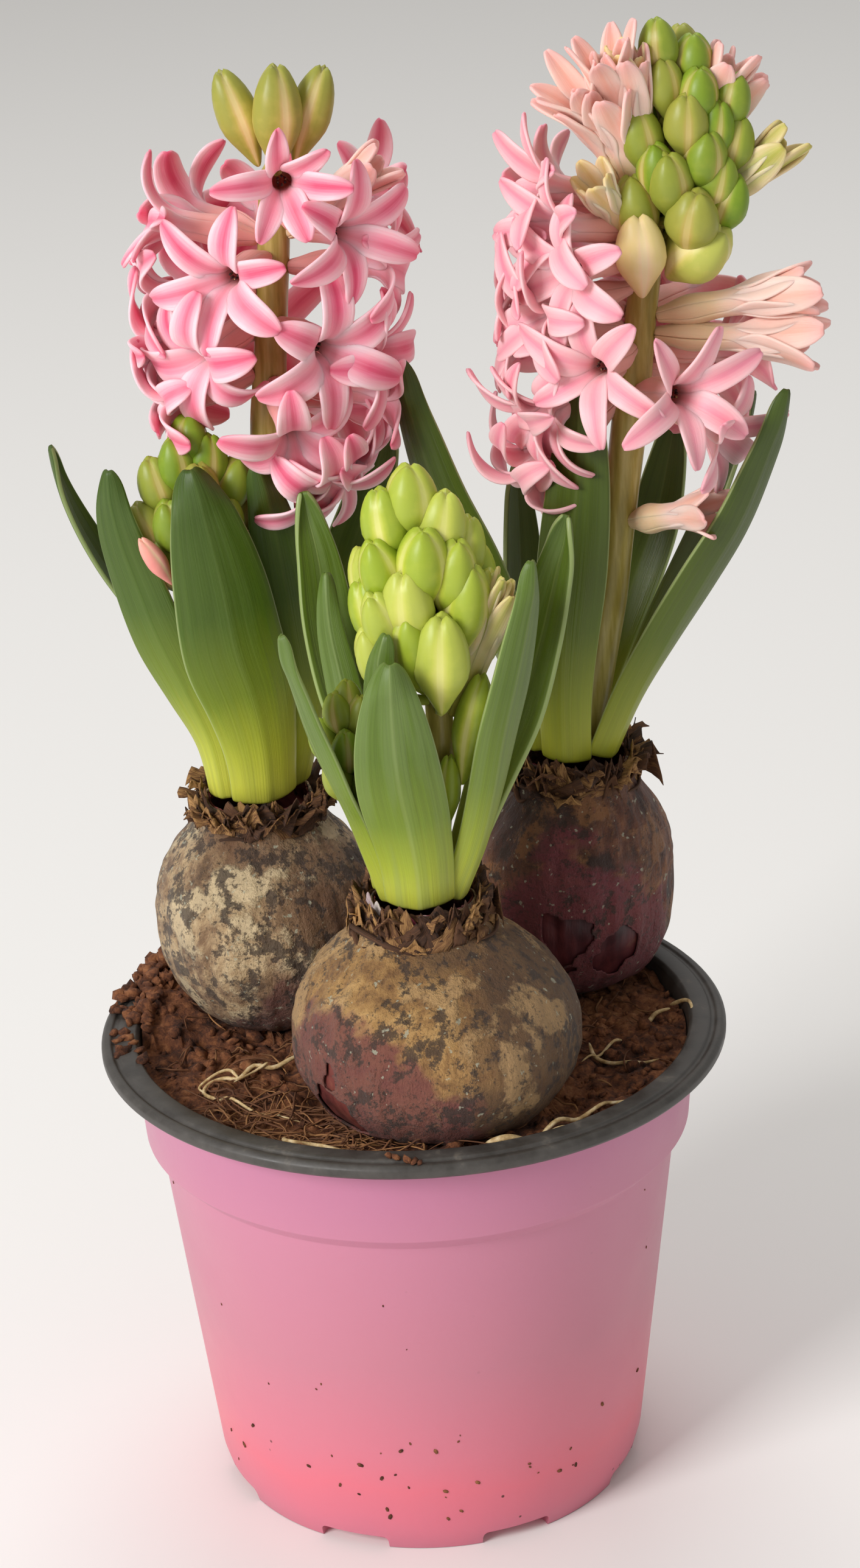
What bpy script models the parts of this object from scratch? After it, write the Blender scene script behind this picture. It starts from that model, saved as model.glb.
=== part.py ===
"""Three forced hyacinths in one nursery pot, built as the pieces the real plant comes apart into.

Metres, +Z up. The origin is the centre of the flat floor that the pot stands on, and -Y is the front.
Sizes and places in the tables below are in millimetres, and MM turns them to metres.
"""

import math

import bmesh
import bpy
from mathutils import Matrix, Vector

MM = 0.001
GAP = 0.35  # clearance between neighbouring pieces, mm

# The pot.
RIM_RADIUS = 65.0
POT_HEIGHT = 101.0
BAND_RADIUS = 58.5
FOOT_RADIUS = 44.0
PAD_RADIUS = 33.0
WALL = 1.2
SLOTS = 8
SLOT_WIDTH = 15.0
SLOT_HEIGHT = 5.0
POT_SEGMENTS = 32

# The soil: its level, and the heap at the back left.
SOIL_LEVEL = 96.5
HEAP_HEIGHT = 7.0
HEAP_BEARING = 148.0

# Each bulb: centre of its widest ring, radius there, depth below it, height of the neck, neck radius.
BULBS = {
    "front": {"at": (5, -28, 111), "radius": 28.0, "below": 20, "neck": (3, -25, 140), "neck_radius": 9.4},
    "left": {"at": (-29, 12, 120), "radius": 23.0, "below": 24, "neck": (-30, 15, 147), "neck_radius": 10.4},
    "right": {"at": (34, 25, 117), "radius": 22.0, "below": 22, "neck": (36, 15, 153), "neck_radius": 10.0},
}
COLLAR_DEPTH = 7.0
COLLAR_WALL = 1.8
LEAF_THICKNESS = 1.5

# Each leaf: plant, bearing and radius of its base on the neck, width, then its midrib from base to tip.
LEAVES = {
    "leaf_left_outer": ("left", 165, 8.8, 9, [(-43, 19, 162), (-53, 17, 188), (-62, 13, 206), (-67, 8, 226)]),
    "leaf_left_side": ("left", 212, 8.8, 12, [(-40, 8, 164), (-47, 5, 181), (-54, 1, 208), (-55, -1, 223)]),
    "leaf_left_front": (
        "left", 285, 8.8, 22, [(-28, 0, 168), (-31, -4, 182), (-34, -6, 203), (-38, -6, 224)],
    ),
    "leaf_left_inner": (
        "left", 12, 8.2, 13, [(-18, 20, 167), (-19, 24, 186), (-21, 27, 205), (-24, 28, 220)],
    ),
    "leaf_left_back": ("left", 75, 8.8, 12, [(-22, 29, 166), (-12, 35, 184), (-3, 37, 207), (1, 38, 222)]),
    "leaf_front_outer": (
        "front", 206, 8.0, 9, [(-9, -32, 157), (-13, -36, 169), (-17, -37, 181), (-22, -39, 201)],
    ),
    "leaf_front_back": (
        "front", 112, 8.0, 12, [(-5, -13, 163), (-12, -8, 184), (-15, -4, 206), (-17, -3, 218)],
    ),
    "leaf_front_small": (
        "front", 168, 8.0, 7, [(-8, -20, 163), (-11, -15, 180), (-13, -13, 193), (-13, -12, 204)],
    ),
    "leaf_front_main": (
        "front", 268, 8.4, 17, [(2, -37, 154), (0, -42, 168), (-1, -46, 182), (-1, -47, 197)],
    ),
    "leaf_front_second": (
        "front", 238, 5.6, 9, [(-1, -33, 156), (-4, -37, 170), (-6, -40, 186), (-5, -42, 199)],
    ),
    "leaf_front_right": (
        "front", 330, 8.2, 9, [(16, -32, 158), (20, -35, 177), (24, -38, 195), (27, -40, 214)],
    ),
    "leaf_front_far_right": (
        "front", 22, 8.0, 11, [(17, -21, 158), (26, -17, 179), (31, -14, 197), (35, -13, 214)],
    ),
    "leaf_right_front": ("right", 252, 8.8, 14, [(33, 4, 171), (35, 3, 190), (37, 3, 208), (38, 4, 225)]),
    "leaf_right_outer": ("right", 315, 8.8, 12, [(48, 7, 168), (59, 4, 188), (70, 2, 208), (79, 0, 233)]),
    "leaf_right_far": ("right", 12, 8.6, 12, [(50, 19, 169), (59, 22, 186), (68, 24, 205), (75, 25, 226)]),
    "leaf_right_back": ("right", 70, 8.6, 12, [(43, 29, 165), (50, 35, 183), (56, 38, 199), (60, 40, 219)]),
    "leaf_right_shadow": (
        "right", 128, 8.6, 11, [(28, 26, 165), (26, 33, 180), (26, 36, 194), (26, 38, 210)],
    ),
    "leaf_right_inner": ("right", 185, 8.8, 12, [(25, 14, 168), (17, 12, 192), (8, 12, 215), (3, 12, 239)]),
}

# Each flower stem: its axis from the neck upwards, and its radius at the foot and at the top.
STEMS = {
    "stem_left": ([(-30, 15, 148.5), (-28, 15, 180), (-24, 15, 220), (-21, 15, 255), (-19, 15, 278)], 4.0, 3.2),
    "stem_front": ([(3, -25, 141.5), (6, -25, 155), (8, -25, 171)], 4.0, 3.6),
    "stem_right": ([(36, 15, 154.5), (43, 15, 185), (48, 15, 220), (52, 15, 252), (53.5, 15, 264)], 4.6, 3.8),
    "stem_left_young": ([(-36.5, 15, 161), (-39, 14, 178), (-40, 13, 194)], 1.9, 1.8),
    "stem_front_young": ([(-3.6, -26, 154), (-8, -26, 160), (-10, -26, 164)], 1.3, 1.2),
}

# The tops of the stems that carry closed buds, which grow as one piece with them.
TOPS = {
    "front": [(8, -25, 172), (7, -25, 190), (4, -25, 214)],
    "right": [(53.6, 15, 265), (55, 15, 280), (56.5, 15, 292)],
    "left_young": [(-40, 13, 194.5), (-41, 12, 205), (-41, 11, 216)],
    "front_young": [(-10, -26, 164.5), (-10, -26, 170), (-10, -26, 175)],
}

# Open florets: height where each leaves the stem, bearing, reach to its face, rise in degrees, face radius.
FLORETS = {
    "left": [
        (274, 275, 17, 10, 14), (266, 315, 18, 0, 15), (260, 245, 18, 0, 15), (246, 305, 18, -5, 15),
        (244, 228, 17, -12, 13), (236, 272, 14, -5, 12), (264, 185, 21, 10, 15), (252, 178, 22, 0, 15),
        (241, 165, 19, -5, 14), (256, 350, 20, 0, 15), (240, 345, 19, -5, 15), (234, 15, 18, -5, 14),
        (235, 325, 16, -8, 12), (262, 90, 18, 0, 15), (250, 55, 18, 0, 16), (250, 125, 18, 0, 16),
        (238, 90, 18, -5, 15), (265, 40, 18, 5, 15), (266, 135, 18, 5, 14),
    ],
    "right": [
        (236, 290, 19, -8, 15), (240, 245, 18, 0, 15), (252, 225, 20, 0, 14), (250, 190, 22, -5, 14),
        (243, 180, 21, 0, 15), (235, 205, 18, -8, 13), (233, 165, 19, -10, 14), (248, 352, 27, 2, 12),
        (241, 340, 26, -4, 13), (231, 345, 19, -10, 13), (231, 40, 18, -10, 13), (254, 60, 19, 0, 15),
        (254, 110, 19, 0, 15), (246, 90, 19, 0, 15), (240, 15, 20, -5, 14), (234, 120, 18, -8, 14),
        (246, 145, 20, 0, 15), (232, 80, 18, -8, 14),
    ],
}
THROAT_RADIUS = 3.2
PEDICEL_RADIUS = 1.4
ROLL_STEP = 17  # each floret is turned a little from the last, degrees

# Half-open buds: plant, height on the stem, bearing, rise, inner and outer end along it, width.
HALF_OPEN = {
    "half_open_left": ("left", 273, 358, 30, 4.2, 29, 7.5),
    "half_open_front": ("front", 162, 352, 40, 5.5, 34, 5.5),
    "half_open_right_upper": ("right", 257, 190, 40, 5.5, 38, 8.5),
    "half_open_right_side": ("right", 256, 355, 34, 5.5, 34, 8),
}
TOP_BUDS_LEFT = {"bud_left_west": (-29, 17), "bud_left_middle": (-18, 9), "bud_left_east": (-8.5, 17)}
TOP_BUD_FOOT = 279.5
TOP_BUD_LENGTH = 23.0

# Clusters of closed buds: plant, count, lowest and highest foot, first bearing, reach at the bottom, bud size.
BUD_CLUSTERS = {
    "buds_front": ("front", 22, 174, 214, 262, 3.2, (7.8, 18)),
    "buds_right": ("right", 20, 268, 291, 318, 3.6, (7.8, 15)),
    "buds_left_young": ("left_young", 12, 197, 215, 200, 2.2, (6.5, 12)),
    "buds_front_young": ("front_young", 7, 166, 174, 180, 0.9, (3.7, 8)),
}
GOLDEN_ANGLE = 137.5
LOWEST_RISE = 62
CORE_EXTRA = 2.2  # the feet of the buds thicken the stem between them

# Loose roots lying on the soil, as points of their centre lines, and the radius of each.
ROOTS = {
    "root_left": (
        [(-25, -13, 99), (-31, -16, 99), (-37, -19, 98.5), (-40, -25, 98.5), (-35, -30, 98.5), (-27, -32, 98.5)],
        0.8,
    ),
    "root_front": ([(20, -49, 98.6), (27, -47, 98.6), (34, -43, 98.6), (42, -36, 98.6)], 1.0),
    "root_right": ([(36, -8, 98.8), (38, -15, 98.6), (44, -18, 98.6), (48, -18, 98.6)], 0.8),
}


def clear_scene():
    for old in list(bpy.data.objects):
        bpy.data.objects.remove(old, do_unlink=True)


def material(name, red, green, blue, roughness, metallic=0.0):
    made = bpy.data.materials.get(name) or bpy.data.materials.new(name)
    made.use_nodes = True
    shader = made.node_tree.nodes["Principled BSDF"]
    shader.inputs["Base Color"].default_value = (red, green, blue, 1.0)
    shader.inputs["Roughness"].default_value = roughness
    shader.inputs["Metallic"].default_value = metallic
    return made


def add(name, bm, finish, helper=False):
    """Makes an object from a bmesh in millimetres."""
    bmesh.ops.scale(bm, vec=(MM, MM, MM), verts=bm.verts)
    mesh = bpy.data.meshes.new(name)
    bm.to_mesh(mesh)
    bm.free()
    mesh.shade_smooth()
    mesh.set_sharp_from_angle(angle=math.radians(40))
    mesh.materials.append(finish)
    made = bpy.data.objects.new(name, mesh)
    bpy.context.scene.collection.objects.link(made)
    if helper:
        made.hide_render = True
        made.display_type = "WIRE"
    return made


def boolean(target, operation, other):
    cut = target.modifiers.new(other.name, "BOOLEAN")
    cut.operation = operation
    cut.solver = "EXACT"
    cut.object = other


def turned(outline, centre, segments):
    """Turns an outline of (radius, height) about a vertical axis through centre. It starts and ends on the axis, or closes."""
    bm = bmesh.new()
    x, y = centre
    points = [bm.verts.new((x + radius, y, height)) for radius, height in outline]
    for here, there in zip(points, points[1:]):
        bm.edges.new((here, there))
    if outline[0][0] > 0:
        bm.edges.new((points[-1], points[0]))
    bmesh.ops.spin(
        bm, geom=bm.verts[:] + bm.edges[:], cent=(x, y, 0), axis=(0, 0, 1), angle=math.tau, steps=segments,
        use_merge=True,
    )
    bmesh.ops.remove_doubles(bm, verts=bm.verts, dist=1e-3)
    bmesh.ops.recalc_face_normals(bm, faces=bm.faces)
    return bm


def smooth_path(points, steps):
    """Reads steps + 1 places along a smooth curve through the points."""
    given = [Vector(p) for p in points]
    ends = [2 * given[0] - given[1], *given, 2 * given[-1] - given[-2]]
    lengths = [0.0]
    for here, there in zip(given, given[1:]):
        lengths.append(lengths[-1] + (there - here).length)
    found = []
    for step in range(steps + 1):
        along = lengths[-1] * step / steps
        part = max(i for i in range(len(given) - 1) if lengths[i] <= along + 1e-9)
        t = (along - lengths[part]) / (lengths[part + 1] - lengths[part])
        a, b, c, d = ends[part : part + 4]
        bend = (2 * a - 5 * b + 4 * c - d) * t**2 + (3 * b - a - 3 * c + d) * t**3
        found.append(0.5 * (2 * b + (c - a) * t + bend))
    return found


def stem_axis(plant, height):
    """The place on a plant's stem axis at a height."""
    points = smooth_path([*STEMS[f"stem_{plant}"][0], *TOPS.get(plant, [])], 40)
    below = max([p for p in points if p.z <= height] or [points[0]], key=lambda p: p.z)
    above = min([p for p in points if p.z > height] or [points[-1]], key=lambda p: p.z)
    if above.z <= below.z:
        lean = (points[-1] - points[-5]).normalized()
        return points[-1] + lean * (height - points[-1].z) / lean.z
    return below.lerp(above, (height - below.z) / (above.z - below.z))


def direction(bearing, rise):
    """A unit vector: bearing 0 is +X and 90 is +Y, rise is degrees above level."""
    turn, lift = math.radians(bearing), math.radians(rise)
    return Vector((math.cos(turn) * math.cos(lift), math.sin(turn) * math.cos(lift), math.sin(lift)))


def aimed(centre, way):
    """A matrix that takes +Z to the way and the origin to the centre."""
    return Matrix.Translation(centre) @ way.to_track_quat("Z", "Y").to_matrix().to_4x4()


def make_pot():
    plastic = material("pink_moulded_plastic", 0.70, 0.22, 0.36, 0.42)
    ring = FOOT_RADIUS - 4
    outline = [
        (0, 0), (PAD_RADIUS, 0), (PAD_RADIUS + 1, 3), (ring - 1, 3), (ring, 0), (FOOT_RADIUS, 0), (45.7, 6),
        (54, 77), (57, 80), (BAND_RADIUS, POT_HEIGHT - 3), (64.2, POT_HEIGHT - 3), (RIM_RADIUS, POT_HEIGHT - 2.2),
        (RIM_RADIUS, POT_HEIGHT - 0.8), (64.2, POT_HEIGHT), (BAND_RADIUS - 0.6, POT_HEIGHT),
        (BAND_RADIUS - WALL, POT_HEIGHT - 1), (57 - WALL, 80.4), (54 - WALL, 77.4), (44.6, 7),
        (FOOT_RADIUS - 2.4, 3 + WALL), (PAD_RADIUS, 3 + WALL), (PAD_RADIUS - 1, WALL), (0, WALL),
    ]
    pot = add("pot", turned(outline, (0, 0), POT_SEGMENTS), plastic)
    for index in range(SLOTS):
        bearing = math.tau * (index + 0.5) / SLOTS
        bm = bmesh.new()
        place = Matrix.Rotation(bearing, 4, "Z") @ Matrix.Translation((FOOT_RADIUS + 1, 0, SLOT_HEIGHT / 2 - 2))
        bmesh.ops.create_cube(bm, size=1, matrix=place @ Matrix.Diagonal((7, SLOT_WIDTH, SLOT_HEIGHT + 4, 1)))
        boolean(pot, "DIFFERENCE", add(f"slot_cutter_{index}", bm, plastic, helper=True))


def soil_height(x, y):
    """The top of the soil: a shallow dish with gentle lumps, heaped at the back left."""
    radius = math.hypot(x, y)
    bearing = math.degrees(math.atan2(y, x))
    heap = HEAP_HEIGHT * math.exp(-(((bearing - HEAP_BEARING) / 32) ** 2)) * min(1, radius / 50) ** 3
    lumps = 0.5 * math.sin(x / 6.1) * math.cos(y / 7.3)
    return SOIL_LEVEL + lumps + heap


def make_soil():
    earth = material("potting_soil", 0.09, 0.045, 0.025, 0.95)
    top_radius = BAND_RADIUS - WALL - 0.5
    outline = [
        (0, WALL + GAP), (PAD_RADIUS - 2, WALL + GAP), (PAD_RADIUS - 1, 4.6), (FOOT_RADIUS - 3.2, 4.6), (44, 7.6),
        (54 - WALL - 0.5, 77.8), (57 - WALL - 0.6, 81), (top_radius, SOIL_LEVEL), (46, SOIL_LEVEL), (34, SOIL_LEVEL),
        (20, SOIL_LEVEL), (8, SOIL_LEVEL), (0, SOIL_LEVEL),
    ]
    bm = turned(outline, (0, 0), POT_SEGMENTS)
    for vertex in bm.verts:
        if vertex.co.z > SOIL_LEVEL - 0.1:
            vertex.co.z = soil_height(vertex.co.x, vertex.co.y)
    soil = add("soil", bm, earth)
    for plant in BULBS:
        boolean(soil, "DIFFERENCE", add(f"dent_cutter_{plant}", bulb_solid(plant, GAP), earth, helper=True))


def bulb_radius(plant, height):
    """The bulb's radius at a height: an oblate lower half, and shoulders that draw in to the neck."""
    bulb = BULBS[plant]
    widest, neck = bulb["at"][2], bulb["neck"][2]
    if height <= widest:
        return bulb["radius"] * math.sqrt(max(0.0, 1 - ((widest - height) / bulb["below"]) ** 2))
    t = ((height - widest) / (neck - widest)) ** 1.6
    return bulb["neck_radius"] + (bulb["radius"] - bulb["neck_radius"]) * 0.5 * (1 + math.cos(math.pi * t))


def shifted_to_neck(bm, plant):
    """Leans a turned bulb or collar so that its top stands over the neck."""
    bulb = BULBS[plant]
    for vertex in bm.verts:
        up = (vertex.co.z - bulb["at"][2]) / (bulb["neck"][2] - bulb["at"][2])
        if up > 0:
            share = up * up * (3 - 2 * min(up, 1))
            vertex.co.x += (bulb["neck"][0] - bulb["at"][0]) * min(share, 1)
            vertex.co.y += (bulb["neck"][1] - bulb["at"][1]) * min(share, 1)


def bulb_solid(plant, grown=0.0):
    bulb = BULBS[plant]
    low, high = bulb["at"][2] - bulb["below"], bulb["neck"][2]
    heights = [low + 1 + (high - low - 1) * (i / 9) for i in range(10)]
    outline = [(0, low + 1 - grown)]
    outline += [(bulb_radius(plant, z) + grown, z) for z in heights]
    outline[1] = (outline[1][0], outline[1][1] - grown)
    outline += [(0, high)]
    bm = turned(outline, bulb["at"][:2], 20)
    shifted_to_neck(bm, plant)
    return bm


def make_bulbs():
    skin = material("bulb_skin", 0.28, 0.14, 0.09, 0.75)
    papery = material("papery_tunic", 0.16, 0.08, 0.05, 0.85)
    for plant, bulb in BULBS.items():
        add(f"bulb_{plant}", bulb_solid(plant), skin)
        top = bulb["neck"][2]
        heights = [top - COLLAR_DEPTH, top - COLLAR_DEPTH / 2, top, top + 2]
        inner = [(bulb_radius(plant, min(z, top)) + GAP + 0.5, z) for z in heights]
        outer = [(radius + COLLAR_WALL, z) for radius, z in reversed(inner)]
        bm = turned(inner + outer, bulb["at"][:2], 20)
        shifted_to_neck(bm, plant)
        add(f"tunic_{plant}", bm, papery)


def leaf_width(t, base_share):
    """Share of the full width at t from base to tip: narrow sheath, broad blade, rounded tip."""
    rise = min(1, t / 0.45)
    blade = base_share + (1 - base_share) * rise * rise * (3 - 2 * rise)
    fall = max(0, (t - 0.62) / 0.38)
    return blade * math.sqrt(max(0, 1 - 0.96 * fall * fall))


def make_leaves():
    green = material("waxy_leaf", 0.06, 0.19, 0.03, 0.45)
    across, along = 3, 6
    for name, (plant, bearing, ring, width, midrib) in LEAVES.items():
        neck = Vector(BULBS[plant]["neck"])
        outward = direction(bearing, 0)
        foot = neck + ring * outward + Vector((0, 0, 1.2))
        spine = smooth_path([foot, *midrib], along)
        bm = bmesh.new()
        bmesh.ops.create_grid(bm, x_segments=across, y_segments=along, size=1)
        for vertex in bm.verts:
            side, t = vertex.co.x, (vertex.co.y + 1) / 2
            index = round(t * along)
            ahead, behind = spine[min(index + 1, along)], spine[max(index - 1, 0)]
            tangent = (ahead - behind).normalized()
            inward = -(outward - outward.project(tangent)).normalized()
            half = 0.5 * width * leaf_width(t, 0.5)
            cup = half * (0.5 - 0.25 * t) * side * side
            vertex.co = spine[index] + tangent.cross(inward) * half * side + inward * cup
        leaf = add(name, bm, green)
        flesh = leaf.modifiers.new("Flesh", "SOLIDIFY")
        flesh.thickness = LEAF_THICKNESS * MM
        flesh.offset = 0


def make_tube(name, points, radii, finish, sides, steps):
    """A tube along a smooth curve, with rounded radii from foot to top."""
    curve = bpy.data.curves.new(name, "CURVE")
    curve.dimensions = "3D"
    curve.bevel_depth = MM
    curve.bevel_resolution = sides
    curve.use_fill_caps = True
    spline = curve.splines.new("POLY")
    places = smooth_path(points, steps)
    spline.points.add(len(places) - 1)
    for index, (point, place) in enumerate(zip(spline.points, places)):
        point.co = (*(place * MM), 1)
        point.radius = radii[0] + (radii[1] - radii[0]) * index / steps
    curve.materials.append(finish)
    made = bpy.data.objects.new(name, curve)
    bpy.context.scene.collection.objects.link(made)


def floret_solid(centre, way, start, reach, face, roll):
    """One floret: a tube that widens to the throat, and six tepals that curl back from it."""
    bm = bmesh.new()

    def ring(height, radii):
        places = [math.tau * i / len(radii) for i in range(len(radii))]
        return [
            bm.verts.new((r * math.cos(turn), r * math.sin(turn), height - 0.012 * r * r))
            for r, turn in zip(radii, places)
        ]

    foot = ring(start, [PEDICEL_RADIUS] * 6)
    tube = ring(reach - 3, [THROAT_RADIUS] * 6)
    star = ring(reach - 1.5, [face, THROAT_RADIUS * 1.5] * 6)
    throat = bm.verts.new((0, 0, reach - 1))
    bm.faces.new(foot)
    for i in range(6):
        j, tip, notch, next_tip = (i + 1) % 6, star[2 * i], star[2 * i + 1], star[(2 * i + 2) % 12]
        bm.faces.new((foot[i], foot[j], tube[j], tube[i]))
        bm.faces.new((tube[i], notch, tip))
        bm.faces.new((tube[i], tube[j], notch))
        bm.faces.new((tube[j], next_tip, notch))
        bm.faces.new((throat, tip, notch))
        bm.faces.new((throat, notch, next_tip))
    bmesh.ops.recalc_face_normals(bm, faces=bm.faces)
    turned_round = aimed(centre, way) @ Matrix.Rotation(math.radians(roll), 4, "Z")
    bmesh.ops.transform(bm, matrix=turned_round, verts=bm.verts)
    return bm


def core_solid(points, radius):
    """The stretch of stem that a cluster of buds grows on."""
    bm = bmesh.new()
    foot, top = Vector(points[0]), Vector(points[-1])
    middle, way = (foot + top) / 2, (top - foot).normalized()
    bmesh.ops.create_cone(
        bm, cap_ends=True, segments=8, radius1=radius, radius2=radius * 0.6, depth=(top - foot).length,
        matrix=aimed(middle, way),
    )
    return bm


def bud_solid(foot, way, width, length):
    """One closed bud: an egg on its pedicel, blunt at the tip."""
    bm = bmesh.new()
    bmesh.ops.create_uvsphere(bm, u_segments=6, v_segments=5, radius=1)
    for vertex in bm.verts:
        up = 0.5 * (vertex.co.z + 1)
        swell = 0.82 + 0.18 * math.sin(math.pi * up)
        vertex.co.x *= 0.5 * width * swell
        vertex.co.y *= 0.5 * width * swell
        vertex.co.z = length * up
    bmesh.ops.transform(bm, matrix=aimed(foot, way), verts=bm.verts)
    return bm


def make_cluster(name, solids, finish):
    """Joins overlapping shapes into one body."""
    pieces = [add(f"{name}_shape_{i}", bm, finish, helper=True) for i, bm in enumerate(solids)]
    whole = pieces[0]
    whole.name = name
    whole.hide_render = False
    whole.display_type = "TEXTURED"
    for piece in pieces[1:]:
        boolean(whole, "UNION", piece)


def make_florets():
    pink = material("pink_tepal", 0.80, 0.24, 0.33, 0.5)
    for plant, florets in FLORETS.items():
        foot, top = STEMS[f"stem_{plant}"][1:]
        start = max(foot, top) + 0.6
        solids = []
        for index, (height, bearing, reach, rise, face) in enumerate(florets):
            axis, way = stem_axis(plant, height), direction(bearing, rise)
            solids.append(floret_solid(axis, way, start, reach, face, ROLL_STEP * index))
        make_cluster(f"florets_{plant}", solids, pink)


def make_buds():
    green = material("green_bud", 0.33, 0.46, 0.06, 0.45)
    beige = material("half_open_bud", 0.78, 0.42, 0.26, 0.5)
    for name, (plant, height, bearing, rise, inner, outer, width) in HALF_OPEN.items():
        way = direction(bearing, rise)
        add(name, bud_solid(stem_axis(plant, height) + way * inner, way, width, outer - inner), beige)
    axis = stem_axis("left", TOP_BUD_FOOT)
    for name, (x, y) in TOP_BUDS_LEFT.items():
        foot = axis.lerp(Vector((x, y, TOP_BUD_FOOT)), 0.55)
        way = Vector((x - foot.x, 0, TOP_BUD_LENGTH)).normalized()
        add(name, bud_solid(foot, way, 8.5, TOP_BUD_LENGTH), green)
    for name, (plant, count, low, high, first, reach, (width, length)) in BUD_CLUSTERS.items():
        solids = [core_solid(TOPS[plant], reach + CORE_EXTRA)]
        for index in range(count):
            t = index / (count - 1)
            bearing = first + GOLDEN_ANGLE * index
            rise = LOWEST_RISE + (90 - LOWEST_RISE) * t * t
            size = 1 - 0.25 * t
            foot = stem_axis(plant, low + (high - low) * t) + direction(bearing, 0) * reach * (1 - 0.4 * t * t)
            foot += direction(bearing, rise) * 0.8
            solids.append(bud_solid(foot, direction(bearing, rise), width * size, length * size))
        make_cluster(name, solids, green)


def make_stems_and_roots():
    olive = material("flower_stem", 0.24, 0.20, 0.05, 0.4)
    cream = material("bare_root", 0.66, 0.50, 0.30, 0.6)
    for name, (points, foot, top) in STEMS.items():
        make_tube(name, points, (foot, top), olive, 2, 8)
    for name, (points, radius) in ROOTS.items():
        make_tube(name, points, (radius, radius * 0.7), cream, 1, 10)


clear_scene()
make_pot()
make_soil()
make_bulbs()
make_leaves()
make_stems_and_roots()
make_florets()
make_buds()
print(len([o for o in bpy.data.objects if not o.hide_render]), "pieces")
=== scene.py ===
# %% [markdown]
# # A pot of pink hyacinths
# Three hyacinth bulbs stand in the soil of a moulded plastic pot. Two of them flower, and the front one
# is still in bud. The CAD model gives the place and size of everything. This lesson grows a detailed
# piece over each CAD solid, and gives each one a finish drawn with shader nodes.
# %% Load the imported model
import math
import random

import bmesh
import bpy
from mathutils import Matrix, Vector, noise


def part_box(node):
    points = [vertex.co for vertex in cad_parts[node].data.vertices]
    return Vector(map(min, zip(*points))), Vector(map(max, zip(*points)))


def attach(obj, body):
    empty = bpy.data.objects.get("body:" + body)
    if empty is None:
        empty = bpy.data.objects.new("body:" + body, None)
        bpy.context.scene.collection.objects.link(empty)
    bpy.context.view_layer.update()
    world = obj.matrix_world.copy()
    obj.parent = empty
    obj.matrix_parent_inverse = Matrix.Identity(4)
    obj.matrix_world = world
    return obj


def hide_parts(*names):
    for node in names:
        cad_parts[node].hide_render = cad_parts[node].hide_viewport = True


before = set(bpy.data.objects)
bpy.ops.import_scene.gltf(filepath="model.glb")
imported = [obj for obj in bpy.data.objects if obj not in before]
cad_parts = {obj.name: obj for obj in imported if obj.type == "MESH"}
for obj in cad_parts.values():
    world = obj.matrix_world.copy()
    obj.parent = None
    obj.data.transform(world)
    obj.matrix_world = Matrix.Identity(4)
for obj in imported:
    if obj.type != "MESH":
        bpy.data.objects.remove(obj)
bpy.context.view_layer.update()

MM = 0.001

# %% [markdown]
# ## Camera
# The plant is seen from a little above, through a long lens, so that the pot's rim is a flat ellipse.
# The camera leans a little to one side. Its three axes are worked out one by one, because a lean can't be
# given to an aim.
# %% Camera
CAMERA_PLACE = Vector((5.6, -684.6, 437.2)) * MM
CAMERA_AIM = Vector((5.6, 0, 153.6)) * MM
CAMERA_LEAN = math.radians(2.5)



def shown(name, data):
    """A new object in the scene that shows the data."""
    made = bpy.data.objects.new(name, data)
    bpy.context.scene.collection.objects.link(made)
    return made


camera_data = bpy.data.cameras.new("camera")
camera_data.lens = 83.85
camera_data.sensor_width = 36
camera = shown("camera", camera_data)
ahead = (CAMERA_AIM - CAMERA_PLACE).normalized()
level = ahead.cross(Vector((0, 0, 1))).normalized()
upright = level.cross(ahead)
right = level * math.cos(CAMERA_LEAN) - upright * math.sin(CAMERA_LEAN)
above = upright * math.cos(CAMERA_LEAN) + level * math.sin(CAMERA_LEAN)
camera.matrix_world = Matrix.Translation(CAMERA_PLACE) @ Matrix((right, above, -ahead)).transposed().to_4x4()
bpy.context.scene.camera = camera

# %% [markdown]
# ## Light
# Petals and leaves look best in soft light from one side. A large lamp stands in front on the left, a
# weak one fills the right, one hangs above the back, and the room gives the rest. The colours are shown
# as they are, without a film curve, so that a hex value on a petal stays that value in full light.
# %% Light
bpy.context.scene.view_settings.view_transform = "Standard"


def lamp(name, place, power, size):
    """A square lamp in metres that points at the middle of the plant."""
    data = bpy.data.lights.new(name, "AREA")
    data.energy = power
    data.size = size
    spot = Vector(place)
    look = (CAMERA_AIM - spot).to_track_quat("-Z", "Y").to_matrix().to_4x4()
    shown(name, data).matrix_world = Matrix.Translation(spot) @ look


lamp("window_lamp", (-1.0, -1.0, 0.9), 21.0, 0.6)
lamp("fill_lamp", (1.1, -0.9, 0.7), 0.15, 0.9)
lamp("top_lamp", (0.0, 0.7, 1.6), 7.0, 0.8)
world = bpy.data.worlds.new("room")
world.use_nodes = True
world.node_tree.nodes["Background"].inputs["Color"].default_value = (1.0, 0.99, 0.97, 1.0)
world.node_tree.nodes["Background"].inputs["Strength"].default_value = 0.46
bpy.context.scene.world = world

# %% [markdown]
# ## Tools for finishes
# A finish here is a small tree of shader nodes. One function turns a hex colour into the linear numbers
# that Blender works with, one adds a node with its settings and its links, and one ends every finish
# with its bumps and its shader. A shape hands three marks to its finish, which are named here.
# %% Tools for finishes
FACTOR, FIRST, SECOND = 0, 6, 7  # the inputs of a Mix node that mixes colours
MARKS = ("side", "along", "tone")


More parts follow.
